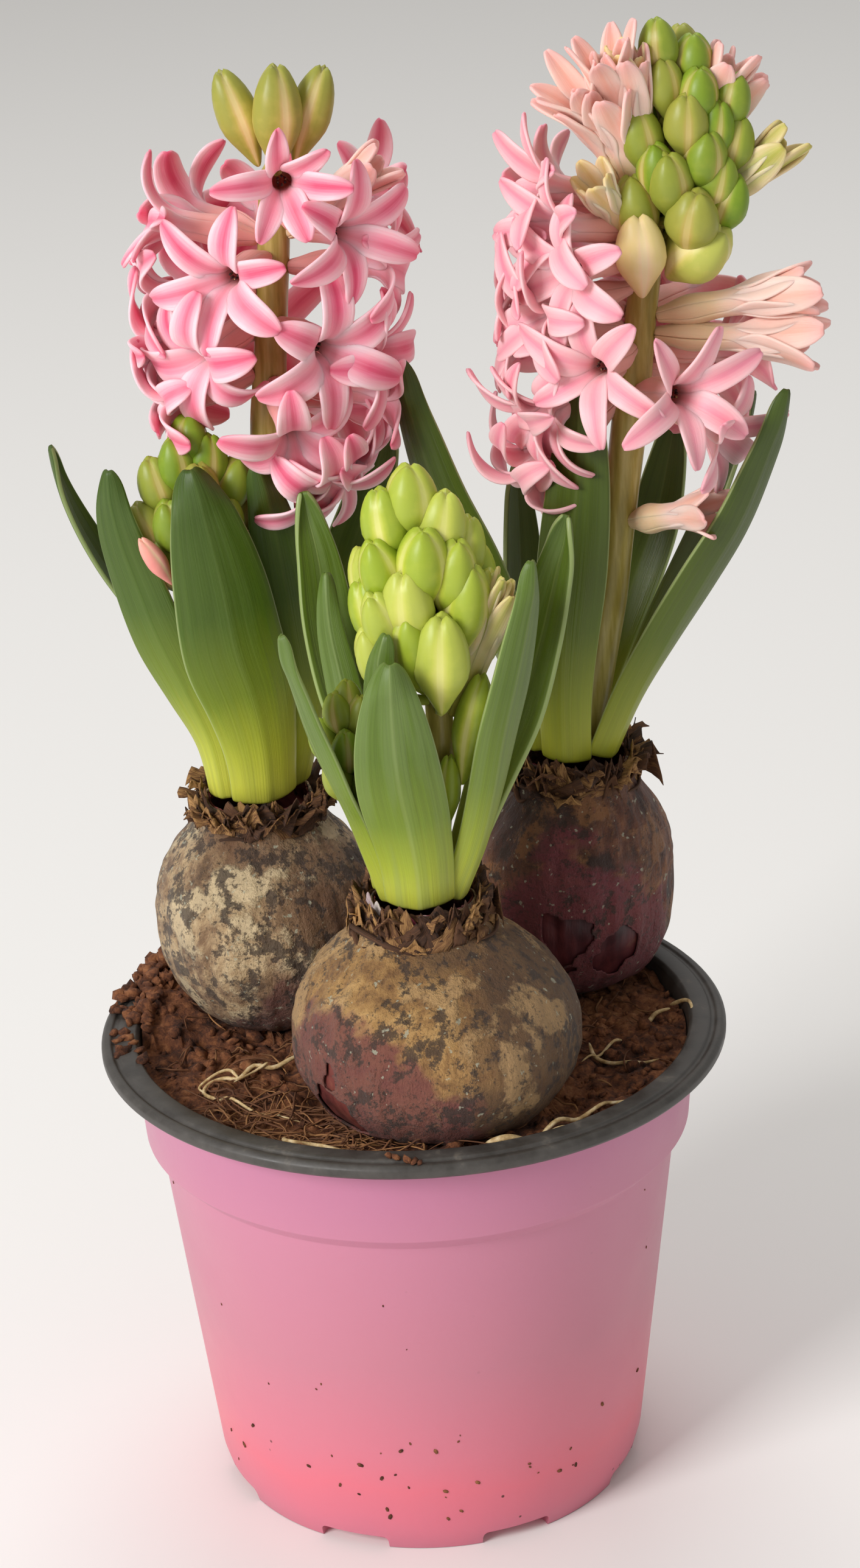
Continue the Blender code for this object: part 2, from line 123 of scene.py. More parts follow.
def colour(code):
    """An sRGB hex colour, or a grey level, as linear red, green, blue and alpha."""
    if not isinstance(code, str):
        return (code, code, code, 1.0)
    parts = [int(code[i : i + 2], 16) / 255 for i in (1, 3, 5)]
    return (*[c / 12.92 if c <= 0.04045 else ((c + 0.055) / 1.055) ** 2.4 for c in parts], 1.0)


def node(finish, kind, inputs=None, stops=None, **settings):
    """Adds a shader node. An input is a value, a hex colour, or the node or output that it is linked from.
    A node stands for its first output in use, and a Mix node mixes colours."""
    tree = finish.node_tree
    made = tree.nodes.new("ShaderNode" + kind)
    if kind == "Mix":
        made.data_type = "RGBA"
    for key, value in settings.items():
        setattr(made, key, value)
    for key, value in (inputs or {}).items():
        if isinstance(value, bpy.types.Node):
            value = next(output for output in value.outputs if output.enabled)
        if isinstance(value, bpy.types.NodeSocket):
            tree.links.new(value, made.inputs[key])
        else:
            made.inputs[key].default_value = colour(value) if isinstance(value, str) else value
    if stops:
        ramp = made.color_ramp
        first, last = ramp.elements[0], ramp.elements[1]
        last.position, last.color = stops[-1][0], colour(stops[-1][1])
        first.position, first.color = stops[0][0], colour(stops[0][1])
        for place, shade in stops[1:-1]:
            ramp.elements.new(place).color = colour(shade)
    return made


def new_finish(name):
    finish = bpy.data.materials.new(name)
    finish.use_nodes = True
    finish.node_tree.nodes.clear()
    return finish


def read_marks(finish):
    """What the three marks of a shape say in a finish."""
    return [node(finish, "Attribute", attribute_name=name).outputs["Fac"] for name in MARKS]


def surface(finish, relief, strength, depth, values, flesh=None):
    """Ends a finish: bumps from a relief, the values of its shader, and how light goes into its flesh."""
    bump = node(finish, "Bump", {"Height": relief, "Strength": strength, "Distance": depth})
    shader = node(finish, "BsdfPrincipled", {**values, "Normal": bump})
    for name, value in zip(("Weight", "Radius", "Scale"), flesh or ()):
        shader.inputs[f"Subsurface {name}"].default_value = value
    node(finish, "OutputMaterial", {"Surface": shader})
    return finish


# %% [markdown]
# ## Tools for shapes
# Nearly everything on a plant is a strip: a leaf, a tepal and a flake of skin are flat strips that bend,
# and a stem or a root is a strip rolled into a tube. So one helper makes a grid and bends it. It also
# writes three marks on each vertex, which the finishes read: how far across the strip it is, how far
# along, and a tone that differs from strip to strip.
# %% Tools for shapes
def marks(bm):
    """The three marks that the finishes read."""
    layers = bm.verts.layers.float
    return [layers.get(name) or layers.new(name) for name in MARKS]


def strip(bm, across, along, place, tone=0.0):
    """Adds a grid and bends it: place(side, t) has side from -1 to 1 and t from 0 to 1."""
    side_mark, along_mark, tone_mark = marks(bm)
    made = bmesh.ops.create_grid(bm, x_segments=across, y_segments=along, size=1)["verts"]
    for vertex in made:
        side, t = vertex.co.x, (vertex.co.y + 1) / 2
        vertex[side_mark] = side
        vertex[along_mark] = t
        vertex[tone_mark] = tone
        vertex.co = place(side, t)
    return made


def smooth_path(points):
    """A function that gives the place at t from 0 to 1 on a smooth curve through the points."""
    given = [Vector(p) for p in points]
    ends = [2 * given[0] - given[1], *given, 2 * given[-1] - given[-2]]

    def at(t):
        reach = min(max(t, 0.0), 1.0) * (len(given) - 1)
        part = min(int(reach), len(given) - 2)
        u = reach - part
        a, b, c, d = ends[part : part + 4]
        return 0.5 * (
            2 * b + (c - a) * u + (2 * a - 5 * b + 4 * c - d) * u**2 + (3 * b - a - 3 * c + d) * u**3
        )

    return at


def tube(bm, points, radius, sides, along, tone=0.0):
    """Adds a strip rolled round a smooth curve. radius(t) is its radius, and it closes where that is 0."""
    at = smooth_path(points)
    whole = Vector(points[-1]) - Vector(points[0])
    beside = Vector((1, 0, 0)) if abs(whole.z) > 0.6 * whole.length else Vector((0, 0, 1))

    def place(side, t):
        ahead = (at(t + 0.02) - at(t - 0.02)).normalized()
        out = (beside - beside.project(ahead)).normalized()
        turn = math.pi * side
        return at(t) + radius(t) * (math.cos(turn) * out + math.sin(turn) * ahead.cross(out))

    made = strip(bm, sides, along, place, tone)
    bmesh.ops.remove_doubles(bm, verts=made, dist=1e-4)


def mix(low, high, share):
    return low + (high - low) * share


def ease(low, high, value):
    """0 below low, 1 above high, and a smooth step between them."""
    share = min(max((value - low) / (high - low), 0.0), 1.0)
    return share * share * (3 - 2 * share)


def direction(bearing, rise=0.0):
    """A unit vector: bearing 0 is +X and 90 is +Y, and rise is in degrees above level."""
    turn, lift = math.radians(bearing), math.radians(rise)
    return Vector((math.cos(turn) * math.cos(lift), math.sin(turn) * math.cos(lift), math.sin(lift)))


def aimed(place, way, roll=0.0):
    """A matrix that stands a shape at a place with its +Z along the way, turned by roll degrees."""
    turned = way.to_track_quat("Z", "Y").to_matrix().to_4x4()
    return Matrix.Translation(place) @ turned @ Matrix.Rotation(math.radians(roll), 4, "Z")


def piece(name, bm, finishes, slot, *nodes, closed=True):
    """Makes an object from a bmesh in millimetres. It rides on the pot and stands for the CAD nodes.
    The faces of a shape that was spun or rolled shut are turned outwards first."""
    if closed:
        bmesh.ops.recalc_face_normals(bm, faces=bm.faces)
    bmesh.ops.scale(bm, vec=(MM, MM, MM), verts=bm.verts)
    mesh = bpy.data.meshes.new(name)
    bm.to_mesh(mesh)
    bm.free()
    mesh.shade_smooth()
    for finish in finishes:
        mesh.materials.append(finish)
    made = shown(name, mesh)
    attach(made, "root")
    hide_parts(*nodes)
    return made


def thicken(made, thickness, levels=1):
    """Gives a bent sheet a thickness in millimetres, and rounds it off."""
    flesh = made.modifiers.new("flesh", "SOLIDIFY")
    flesh.thickness = thickness * MM
    flesh.offset = 0
    if levels:
        rounding = made.modifiers.new("rounding", "SUBSURF")
        rounding.levels = rounding.render_levels = levels


# %% [markdown]
# ## Places from the CAD model
# A leaf's rows and a stem's rings are still there in the CAD mesh. Sorted by height and cut into equal
# groups, its points give one middle point for each row, and so the line that the real piece grows along.
# %% Places from the CAD model
def cad_points(name):
    found = {tuple(round(c / MM, 2) for c in vertex.co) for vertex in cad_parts[name].data.vertices}
    return [Vector(p) for p in sorted(found, key=lambda p: (p[2], p[0], p[1]))]


def middle_line(name, count):
    """The middle of an upright CAD node, as count places from its foot to its top, in millimetres."""
    points = cad_points(name)
    share = len(points) / count
    groups = [points[round(i * share) : round((i + 1) * share)] for i in range(count)]
    return [sum(group, Vector()) / len(group) for group in groups]


def cad_rings(name):
    """The level rings of a turned CAD node: (middle, radius) from the lowest to the highest."""
    by_height = {}
    for point in cad_points(name):
        by_height.setdefault(round(point.z, 1), []).append(point)
    rings = []
    for points in by_height.values():
        middle = sum(points, Vector()) / len(points)
        rings.append((middle, max((p - middle).length for p in points)))
    return rings


axes = {
    "left": middle_line("stem_left", 9),
    "right": middle_line("stem_right", 9) + middle_line("buds_right", 3),
    "front": middle_line("stem_front", 9) + middle_line("buds_front", 4),
    "left_young": middle_line("stem_left_young", 2) + middle_line("buds_left_young", 3),
    "front_young": middle_line("stem_front_young", 2) + middle_line("buds_front_young", 2),
}


def on_axis(plant, height):
    """The place on a plant's stem at a height."""
    points = axes[plant]
    for low, high in zip(points, points[1:]):
        if high.z >= height:
            break
    return low + (high - low) * (height - low.z) / (high.z - low.z)


for plant in axes:
    print(plant, "stem:", [tuple(round(c, 1) for c in p) for p in axes[plant][::3]])

# %% [markdown]
# ## The pot: finish
# The pot is thin polypropylene, pressed in a mould. It is dark grey right through, and printed pink on
# the outside: mauve under the rim, and coral near the foot. It is half glossy, with the fine ripple that
# the mould leaves, and dirt has dried on it in specks.
# %% The pot: finish
def printed_pink():
    finish = new_finish("printed_polypropylene")
    place = node(finish, "TexCoord").outputs["Object"]
    height = node(finish, "SeparateXYZ", {0: place}).outputs["Z"]
    cloud = node(finish, "TexNoise", {"Vector": place, "Scale": 45.0, "Detail": 4.0})
    wavering = node(finish, "Math", {0: cloud, 1: 0.010, 2: height}, operation="MULTIPLY_ADD")
    share = node(finish, "Math", {0: wavering, 1: 0.106}, operation="DIVIDE")
    print_stops = [
        (0.04, "#C97489"), (0.12, "#DA7487"), (0.19, "#E37485"), (0.28, "#D97A8C"),
        (0.48, "#C97E90"), (0.76, "#C77F97"), (1.0, "#BF789A"),
    ]
    pink = node(finish, "ValToRGB", {0: share}, print_stops)
    speck = node(finish, "TexVoronoi", {"Vector": place, "Scale": 210.0, "Randomness": 1.0})
    dot = node(finish, "ValToRGB", {0: speck}, [(0.05, 1.0), (0.09, 0.0)])
    where = node(finish, "TexNoise", {"Vector": place, "Scale": 60.0, "Detail": 2.0})
    some = node(finish, "ValToRGB", {0: where}, [(0.56, 0.0), (0.62, 1.0)])
    low = node(finish, "ValToRGB", {0: share}, [(0.2, 1.0), (0.45, 0.12)])
    dirt = node(finish, "Math", {0: dot, 1: some}, operation="MULTIPLY")
    dirt = node(finish, "Math", {0: dirt, 1: low}, operation="MULTIPLY")
    dirty = node(finish, "Mix", {FACTOR: dirt, FIRST: pink, SECOND: "#5A2A25"})
    ripple = node(finish, "TexNoise", {"Vector": place, "Scale": 900.0, "Detail": 3.0})
    dull = node(finish, "ValToRGB", {0: cloud}, [(0.3, 0.36), (0.7, 0.48)])
    return surface(finish, ripple, 0.12, 0.0002, {
        "Base Color": dirty, "Roughness": dull, "IOR": 1.49,
    }, (0.12, (1.0, 0.5, 0.5), 0.001))


def grey_plastic():
    finish = new_finish("grey_polypropylene")
    place = node(finish, "TexCoord").outputs["Object"]
    dust = node(finish, "TexNoise", {"Vector": place, "Scale": 140.0, "Detail": 6.0, "Roughness": 0.65})
    grey = node(finish, "ValToRGB", {0: dust}, [(0.35, "#37332F"), (0.6, "#4B4743"), (0.75, "#6E665C")])
    ripple = node(finish, "TexNoise", {"Vector": place, "Scale": 1100.0, "Detail": 2.0})
    dull = node(finish, "ValToRGB", {0: dust}, [(0.3, 0.32), (0.7, 0.6)])
    return surface(finish, ripple, 0.15, 0.0002, {"Base Color": grey, "Roughness": dull, "IOR": 1.49})


pink_print = printed_pink()
grey_pot = grey_plastic()

# %% [markdown]
# ## The pot: shape
# A turned shape starts as its outline, the radius and height of each corner, and spin carries it round.
# The outline follows the CAD pot, with the thin wire edge on its rim that the mould adds. The bevel
# rounds the corners afterwards, because a pressed sheet has no sharp ones.
# %% The pot: shape
POT_STEPS = 144
rim_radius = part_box("pot")[1].x / MM
pot_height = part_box("pot")[1].z / MM
OUTSIDE = [
    (0, 0), (33, 0), (34, 3), (39, 3), (40, 0), (44, 0), (45.7, 6), (54, 77), (57, 80),
    (58.5, pot_height - 3), (rim_radius - 0.8, pot_height - 3),
]
RIM = [
    (rim_radius, pot_height - 2.2), (rim_radius, pot_height - 0.8), (rim_radius - 0.8, pot_height),
    (rim_radius - 1.9, pot_height), (rim_radius - 2.3, pot_height - 0.5),
    (rim_radius - 3.0, pot_height - 0.5), (rim_radius - 3.4, pot_height), (57.9, pot_height),
]
INSIDE = [
    (57.3, pot_height - 1), (55.8, 80.4), (52.8, 77.4), (44.6, 7), (41.6, 4.2), (33, 4.2), (32, 1.2),
    (0, 1.2),
]


def turned(outline, steps, middle=(0, 0)):
    """Spins an outline of (radius, height) that starts and ends on the axis."""
    bm = bmesh.new()
    x, y = middle
    points = [bm.verts.new((x + radius, y, height)) for radius, height in outline]
    for here, there in zip(points, points[1:]):
        bm.edges.new((here, there))
    bmesh.ops.spin(
        bm, geom=bm.verts[:] + bm.edges[:], cent=(x, y, 0), axis=(0, 0, 1), angle=math.tau, steps=steps,
        use_merge=True,
    )
    bmesh.ops.remove_doubles(bm, verts=bm.verts, dist=1e-3)
    bmesh.ops.recalc_face_normals(bm, faces=bm.faces)
    return bm


def make_pot():
    bm = turned(OUTSIDE + RIM + INSIDE, POT_STEPS)
    for face in bm.faces:
        middle = face.calc_center_median()
        wall = math.hypot(middle.x, middle.y)
        faces_out = face.normal.x * middle.x + face.normal.y * middle.y > 0
        outer_skin = faces_out and middle.z < pot_height - 3.1 and wall > 42
        face.material_index = 0 if outer_skin else 1
    corners = [edge for edge in bm.edges if edge.calc_face_angle(0) > math.radians(25)]
    bmesh.ops.bevel(
        bm, geom=corners, offset=0.28, offset_type="OFFSET", segments=2, profile=0.5, affect="EDGES",
        material=-1, clamp_overlap=True,
    )
    return piece("plastic_pot", bm, [pink_print, grey_pot], "pot", "pot")


pot = make_pot()

# %% [markdown]
# Eight drain slots are cut into the foot. A cutter block on each bearing takes its bite with a Boolean
# modifier, which is applied at once, so that no cutter is left in the scene.
# %% The pot: drain slots
SLOTS = 8
SLOT_SIZE = Vector((9, 15, 9))

cutter = bmesh.new()
for index in range(SLOTS):
    spot = Matrix.Rotation(math.tau * (index + 0.5) / SLOTS, 4, "Z") @ Matrix.Translation((45, 0, -1.5))
    bmesh.ops.create_cube(cutter, size=1, matrix=spot @ Matrix.Diagonal((*SLOT_SIZE, 1)))
upright_edges = [e for e in cutter.edges if (e.verts[0].co - e.verts[1].co).length < 9.5]
bmesh.ops.bevel(
    cutter, geom=upright_edges, offset=1.2, segments=3, profile=0.5, affect="EDGES", material=-1,
)
bmesh.ops.scale(cutter, vec=(MM, MM, MM), verts=cutter.verts)
cutter_mesh = bpy.data.meshes.new("slot_cutter")
cutter.to_mesh(cutter_mesh)
cutter.free()
cutter_object = shown("slot_cutter", cutter_mesh)
cut = pot.modifiers.new("slots", "BOOLEAN")
cut.operation = "DIFFERENCE"
cut.solver = "EXACT"
cut.object = cutter_object
graph = bpy.context.evaluated_depsgraph_get()
slotted = bpy.data.meshes.new_from_object(pot.evaluated_get(graph))
pot.modifiers.remove(cut)
pot.data = slotted
pot.data.set_sharp_from_angle(angle=math.radians(50))
bpy.data.objects.remove(cutter_object)
print("pot:", len(pot.data.polygons), "faces")

# %% [markdown]
# ## The soil
# Potting soil is peat: dark crumbs of every size with brown fibres through it. A turned disc with many
# rings takes the big lumps and the heap at the back left from layered noise. Loose crumbs and fibres lie
# on top, as small solids, because the edge of a real crumb shows against the next one.
# %% The soil: finish
def peat():
    finish = new_finish("peat_soil")
    place = node(finish, "TexCoord").outputs["Object"]
    grain = node(finish, "TexNoise", {"Vector": place, "Scale": 420.0, "Detail": 8.0, "Roughness": 0.7})
    damp = node(finish, "TexNoise", {"Vector": place, "Scale": 55.0, "Detail": 3.0})
    both = node(finish, "Math", {0: damp, 1: 0.5, 2: grain}, operation="MULTIPLY_ADD")
    earth = node(finish, "ValToRGB", {0: both}, [
        (0.58, "#331A0F"), (0.70, "#60361F"), (0.80, "#84502F"), (0.95, "#A87249"),
    ])
    return surface(finish, grain, 0.9, 0.0012, {"Base Color": earth, "Roughness": 0.93})


def dry_fibre():
    finish = new_finish("dry_plant_fibre")
    tone = node(finish, "Attribute", attribute_name="tone").outputs["Fac"]
    along = node(finish, "Attribute", attribute_name="along").outputs["Fac"]
    place = node(finish, "TexCoord").outputs["Object"]
    grain = node(finish, "TexNoise", {"Vector": place, "Scale": 700.0, "Detail": 3.0})
    shade = node(finish, "Math", {0: grain, 1: 0.5, 2: tone}, operation="MULTIPLY_ADD")
    brown = node(finish, "ValToRGB", {0: shade}, [(0.2, "#4A2A19"), (0.7, "#7E4F2D"), (1.2, "#AC7A4A")])
    tips = node(finish, "Mix", {FACTOR: along, FIRST: brown, SECOND: "#5B3820"})
    return surface(finish, grain, 0.5, 0.0003, {"Base Color": tips, "Roughness": 0.8})


soil_finish = peat()
fibre_finish = dry_fibre()

# %% [markdown]
# The bed reaches down inside the pot, so that nothing shows through under it. Its top starts as level
# rings. Each point is then lifted by the lumps, and by the heap at the back left.
# %% The soil: the bed
SOIL_LEVEL = 96.5
SOIL_RINGS = 74
SOIL_RADIUS = 56.8
HEAP_BEARING = 148
HEAP_HEIGHT = 7.0


def roughness_at(x, y, size, octaves=3):
    """Layered noise from about -1 to 1, with lumps of a size in millimetres."""
    total, weight = 0.0, 1.0
    for octave in range(octaves):
        scale = 2**octave / size
        total += weight * noise.noise(Vector((x * scale, y * scale, 3.1 * octave)))
        weight *= 0.55
    return total


def soil_height(x, y):
    """The top of the soil: lumps, the heap at the back left, and a dip along the wall."""
    radius = math.hypot(x, y)
    bearing = math.degrees(math.atan2(y, x))
    heap = HEAP_HEIGHT * math.exp(-(((bearing - HEAP_BEARING) / 34) ** 2)) * min(1, radius / 50) ** 3
    lumps = 1.5 * roughness_at(x, y, 12) + 1.3 * roughness_at(x + 50, y, 3.6)
    return SOIL_LEVEL + 0.3 + heap + lumps


soil_side = [
    (0, 1.6), (31, 1.6), (32, 4.7), (40.8, 4.7), (44, 7.6), (51.8, 77.8), (54.9, 81),
    (SOIL_RADIUS, SOIL_LEVEL),
]
soil_top = [(SOIL_RADIUS * (1 - i / SOIL_RINGS), SOIL_LEVEL + 0.01) for i in range(1, SOIL_RINGS + 1)]
soil_mesh = turned(soil_side + soil_top, 220)
for vertex in soil_mesh.verts:
    if vertex.co.z > SOIL_LEVEL - 0.1:
        vertex.co.z = soil_height(vertex.co.x, vertex.co.y)
piece("soil_bed", soil_mesh, [soil_finish], "soil", "soil")

# %% [markdown]
# A crumb is an icosphere of twenty faces with its points pushed about. Most are small, as in sifted
# peat. Some have spilled over the rim behind the heap, and a few lie on the rim at the front.
# %% The soil: crumbs
def loose_spot(rng, low=2.0, high=56.0):
    """A random place on the soil, in millimetres."""
    radius = math.sqrt(rng.uniform(low**2, high**2))
    turn = rng.uniform(0, math.tau)
    x, y = radius * math.cos(turn), radius * math.sin(turn)
    return Vector((x, y, soil_height(x, y)))


def crumb(bm, rng, spot, size):
    """A lump of peat: an icosphere with its points pushed about."""
    made = bmesh.ops.create_icosphere(bm, subdivisions=1, radius=1)["verts"]
    stretch = Vector((rng.uniform(0.6, 1.3), rng.uniform(0.6, 1.3), rng.uniform(0.45, 0.9))) * size
    turn = Matrix.Rotation(rng.uniform(0, math.tau), 3, direction(rng.uniform(0, 360), rng.uniform(-90, 90)))
    for vertex in made:
        vertex.co = spot + turn @ (vertex.co * stretch * rng.uniform(0.55, 1.25))


crumbs = bmesh.new()
crumb_rng = random.Random(11)
for index in range(1500):
    crumb(crumbs, crumb_rng, loose_spot(crumb_rng), 0.45 + 1.9 * crumb_rng.random() ** 3)
for index in range(420):
    bearing, radius = crumb_rng.gauss(HEAP_BEARING + 2, 15), crumb_rng.uniform(54, 64)
    spot = direction(bearing) * radius
    piled = math.exp(-(((bearing - HEAP_BEARING - 2) / 20) ** 2))
    spot.z = pot_height + crumb_rng.uniform(-0.6, 6.0) * piled * (1 - ((radius - 54) / 12) ** 2)
    crumb(crumbs, crumb_rng, spot, crumb_rng.uniform(0.7, 2.3))
ON_THE_RIM = [(-4, -61.5, 1.6), (-2.2, -62.4, 1.3), (-0.6, -63.3, 1.0), (-5.5, -60.4, 1.2), (0.4, -64.0, 0.7)]
for x, y, size in ON_THE_RIM:
    crumb(crumbs, crumb_rng, Vector((x, y, pot_height + 0.5)), size)
piece("soil_crumbs", crumbs, [soil_finish], "soil", "soil", closed=False)

# %% [markdown]
# Splashes of soil have dried on the wall as flat specks, most of them low down. Each one is laid on the
# slope of the wall, which narrows to the foot.
# %% The soil: dirt on the pot wall
rng = random.Random(17)
dirt = bmesh.new()
for index in range(46):
    low = index < 34
    height = rng.uniform(8, 27) if low else rng.uniform(27, 74)
    radius = mix(45.7, 54.0, (height - 6) / 71)
    bearing = rng.gauss(258, 42) if low else rng.uniform(180, 360)
    out = direction(bearing)
    size = rng.uniform(0.2, 0.65) if low else rng.uniform(0.15, 0.35)
    stand = aimed(out * (radius + 0.05) + Vector((0, 0, height)), out, rng.uniform(0, 180))
    for vertex in bmesh.ops.create_icosphere(dirt, subdivisions=1, radius=1)["verts"]:
        vertex.co = stand @ (vertex.co * Vector((size * 1.3, size * 0.8, size * 0.4)))
piece("soil_dirt_on_pot", dirt, [soil_finish], "soil", "soil")
print("46 specks of dirt on the wall")

# %% [markdown]
# Fibres curl over the surface. The front left has the most, where old roots have matted together.
# %% The soil: fibres
def fibre(bm, rng, spot, length, radius, lift):
    """A dry fibre that curls over the soil."""
    heading = rng.uniform(0, 360)
    points = []
    for index in range(5):
        height = lift * math.sin(math.pi * index / 4) + rng.uniform(-0.2, 0.3)
        points.append(spot + Vector((0, 0, height)))
        heading += rng.gauss(0, 28)
        spot = spot + direction(heading) * length / 4
        beyond = math.hypot(spot.x, spot.y) / (SOIL_RADIUS - 1)
        spot = spot / max(1.0, beyond)
        spot.z = soil_height(spot.x, spot.y) + radius
    tube(bm, points, lambda t: radius * (1 - abs(2 * t - 1) ** 6), 4, 9, rng.random())


fibres = bmesh.new()
fibre_rng = random.Random(5)
for index in range(260):
    spot = loose_spot(fibre_rng, high=50)
    fibre(fibres, fibre_rng, spot, fibre_rng.uniform(4, 13), fibre_rng.uniform(0.1, 0.28), 0.8)
for index in range(170):
    spot = direction(fibre_rng.uniform(222, 272)) * fibre_rng.uniform(42, 55)
    spot.z = soil_height(spot.x, spot.y) + fibre_rng.uniform(0, 1.2)
    fibre(fibres, fibre_rng, spot, fibre_rng.uniform(9, 22), fibre_rng.uniform(0.12, 0.26), 1.6)
piece("soil_fibres", fibres, [fibre_finish], "soil", "soil", closed=False)

# %% [markdown]
# ## The bulbs: finishes
# A hyacinth bulb is wrapped in old scales. The living skin is purple, tight and a little glossy. Over it
# lies last year's skin, dry as paper: tan, stained brown and grey, with painted shade on its shaded sides,
# and torn in places. Fine wrinkles run from the neck to the base.
# %% The bulbs: finishes
def bulb_grain(finish, seed):
    """Wrinkles that run up the bulb, and the patches that its stains follow."""
    place = node(finish, "TexCoord").outputs["Object"]
    shifted = node(finish, "Mapping", {
        "Vector": place, "Location": (seed, 0.0, 0.0), "Scale": (1.0, 1.0, 0.22),
    })
    wrinkles = node(finish, "TexNoise", {"Vector": shifted, "Scale": 330.0, "Detail": 6.0, "Roughness": 0.6})
    round_place = node(finish, "Mapping", {"Vector": place, "Location": (0.0, seed, 0.0)})
    patches = node(finish, "TexNoise", {
        "Vector": round_place, "Scale": 62.0, "Detail": 9.0, "Roughness": 0.68, "Distortion": 0.5,
    })
    return place, wrinkles, patches


def papery_skin(name, seed, stops, flake, stain, shade, blot_from):
    """Tan skin with painted shade on its shaded sides, torn layers, blots, mould, and a stain round each
    tear.
    """
    finish = new_finish(name)
    place, wrinkles, patches = bulb_grain(finish, seed)
    tone = node(finish, "Attribute", attribute_name="tone").outputs["Fac"]
    darker = node(finish, "Attribute", attribute_name="side").outputs["Fac"]
    stained = node(finish, "Math", {0: wrinkles, 1: 0.30, 2: patches}, operation="MULTIPLY_ADD")
    tan = node(finish, "ValToRGB", {0: stained}, stops)
    # Painted shade: the skin is mixed towards its shade colour where the side mark says it lies in shade.
    shaded = node(finish, "Math", {0: patches, 1: 1.2, 2: darker}, operation="MULTIPLY_ADD")
    in_shade = node(finish, "ValToRGB", {0: shaded}, [(0.52, 0.0), (0.78, 0.85)])
    dimmed = node(finish, "Mix", {FACTOR: in_shade, FIRST: tan, SECOND: shade})
    layers = node(finish, "TexNoise", {"Vector": place, "Scale": 80.0, "Detail": 8.0, "Roughness": 0.62})
    # Fewer layers show peeled in the painted shade.
    shaded_layers = node(finish, "Math", {0: in_shade, 1: -0.045, 2: layers}, operation="MULTIPLY_ADD")
    peeled = node(finish, "ValToRGB", {0: shaded_layers}, [(0.505, 0.0), (0.555, 0.65)])
    flaked = node(finish, "Mix", {FACTOR: peeled, FIRST: dimmed, SECOND: flake})
    near = node(finish, "Math", {0: patches, 1: 0.7, 2: tone}, operation="MULTIPLY_ADD")
    near_tear = node(finish, "ValToRGB", {0: near}, [(0.66, 0.0), (0.80, 0.9)])
    soaked = node(finish, "Mix", {FACTOR: near_tear, FIRST: flaked, SECOND: stain})
    blots = node(finish, "TexNoise", {"Vector": place, "Scale": 230.0, "Detail": 8.0, "Roughness": 0.74})
    clumped = node(finish, "Math", {0: patches, 1: 0.6, 2: blots}, operation="MULTIPLY_ADD")
    blotted = node(finish, "ValToRGB", {0: clumped}, [(blot_from, 0.0), (blot_from + 0.05, 0.85)])
    blot = node(finish, "Mix", {FACTOR: blotted, FIRST: soaked, SECOND: "#35241A"})
    fine = node(finish, "TexNoise", {"Vector": place, "Scale": 1000.0, "Detail": 4.0, "Roughness": 0.7})
    specks = node(finish, "ValToRGB", {0: fine}, [(0.57, 0.0), (0.65, 0.7)])
    dark = node(finish, "Mix", {FACTOR: specks, FIRST: blot, SECOND: "#2B1D14"})
    mould = node(finish, "TexNoise", {"Vector": place, "Scale": 620.0, "Detail": 3.0, "Roughness": 0.5})
    mould_dots = node(finish, "ValToRGB", {0: mould}, [(0.665, 0.0), (0.70, 0.7)])
    mouldy = node(finish, "Mix", {FACTOR: mould_dots, FIRST: dark, SECOND: "#B4B39C"})
    relief = node(finish, "Math", {0: fine, 1: 0.5, 2: wrinkles}, operation="MULTIPLY_ADD")
    relief = node(finish, "Math", {0: blots, 1: -0.7, 2: relief}, operation="MULTIPLY_ADD")
    relief = node(finish, "Math", {0: peeled, 1: 0.5, 2: relief}, operation="MULTIPLY_ADD")
    return surface(finish, relief, 1.0, 0.0013, {
        "Base Color": mouldy, "Roughness": 0.62, "Sheen Weight": 0.08,
    })


def living_skin(name, seed, stops):
    finish = new_finish(name)
    place, wrinkles, patches = bulb_grain(finish, seed)
    streaked = node(finish, "Math", {0: wrinkles, 1: 0.6, 2: patches}, operation="MULTIPLY_ADD")
    purple = node(finish, "ValToRGB", {0: streaked}, stops)
    return surface(finish, wrinkles, 0.4, 0.0006, {
        "Base Color": purple, "Roughness": 0.42, "Coat Weight": 0.15, "Coat Roughness": 0.3,
    })


TAN_STOPS = [(0.50, "#4C331C"), (0.58, "#80592F"), (0.66, "#A87E47"), (0.74, "#C49A5F"), (0.86, "#8F6639")]
GREY_STOPS = [(0.50, "#4E3724"), (0.58, "#866748"), (0.66, "#B89A72"), (0.76, "#D8BF96"), (0.88, "#9A734B")]
BROWN_STOPS = [(0.50, "#33190F"), (0.60, "#5E3422"), (0.70, "#875434"), (0.80, "#A87648"), (0.90, "#BC966A")]
PURPLE_STOPS = [(0.55, "#36181A"), (0.72, "#5E2B2A"), (0.88, "#7C4038"), (1.0, "#93684F")]
MAROON_STOPS = [(0.55, "#250F13"), (0.75, "#451B21"), (0.92, "#622B2E"), (1.0, "#774C3C")]
bulb_skins = {
    # In each papery skin, the last colour is that of its painted shade.
    "front": (
        papery_skin("papery_skin_tan", 0.13, TAN_STOPS, "#BE9866", "#743A34", "#593B20", 0.83),
        living_skin("living_skin_front", 0.3, PURPLE_STOPS),
    ),
    "left": (
        papery_skin("papery_skin_grey", 0.47, GREY_STOPS, "#DCC69E", "#663A30", "#6A472C", 0.80),
        living_skin("living_skin_left", 0.6, PURPLE_STOPS),
    ),
    "right": (
        papery_skin("papery_skin_brown", 0.81, BROWN_STOPS, "#9A683E", "#752E37", "#35201A", 0.85),
        living_skin("living_skin_right", 0.9, MAROON_STOPS),
    ),
}

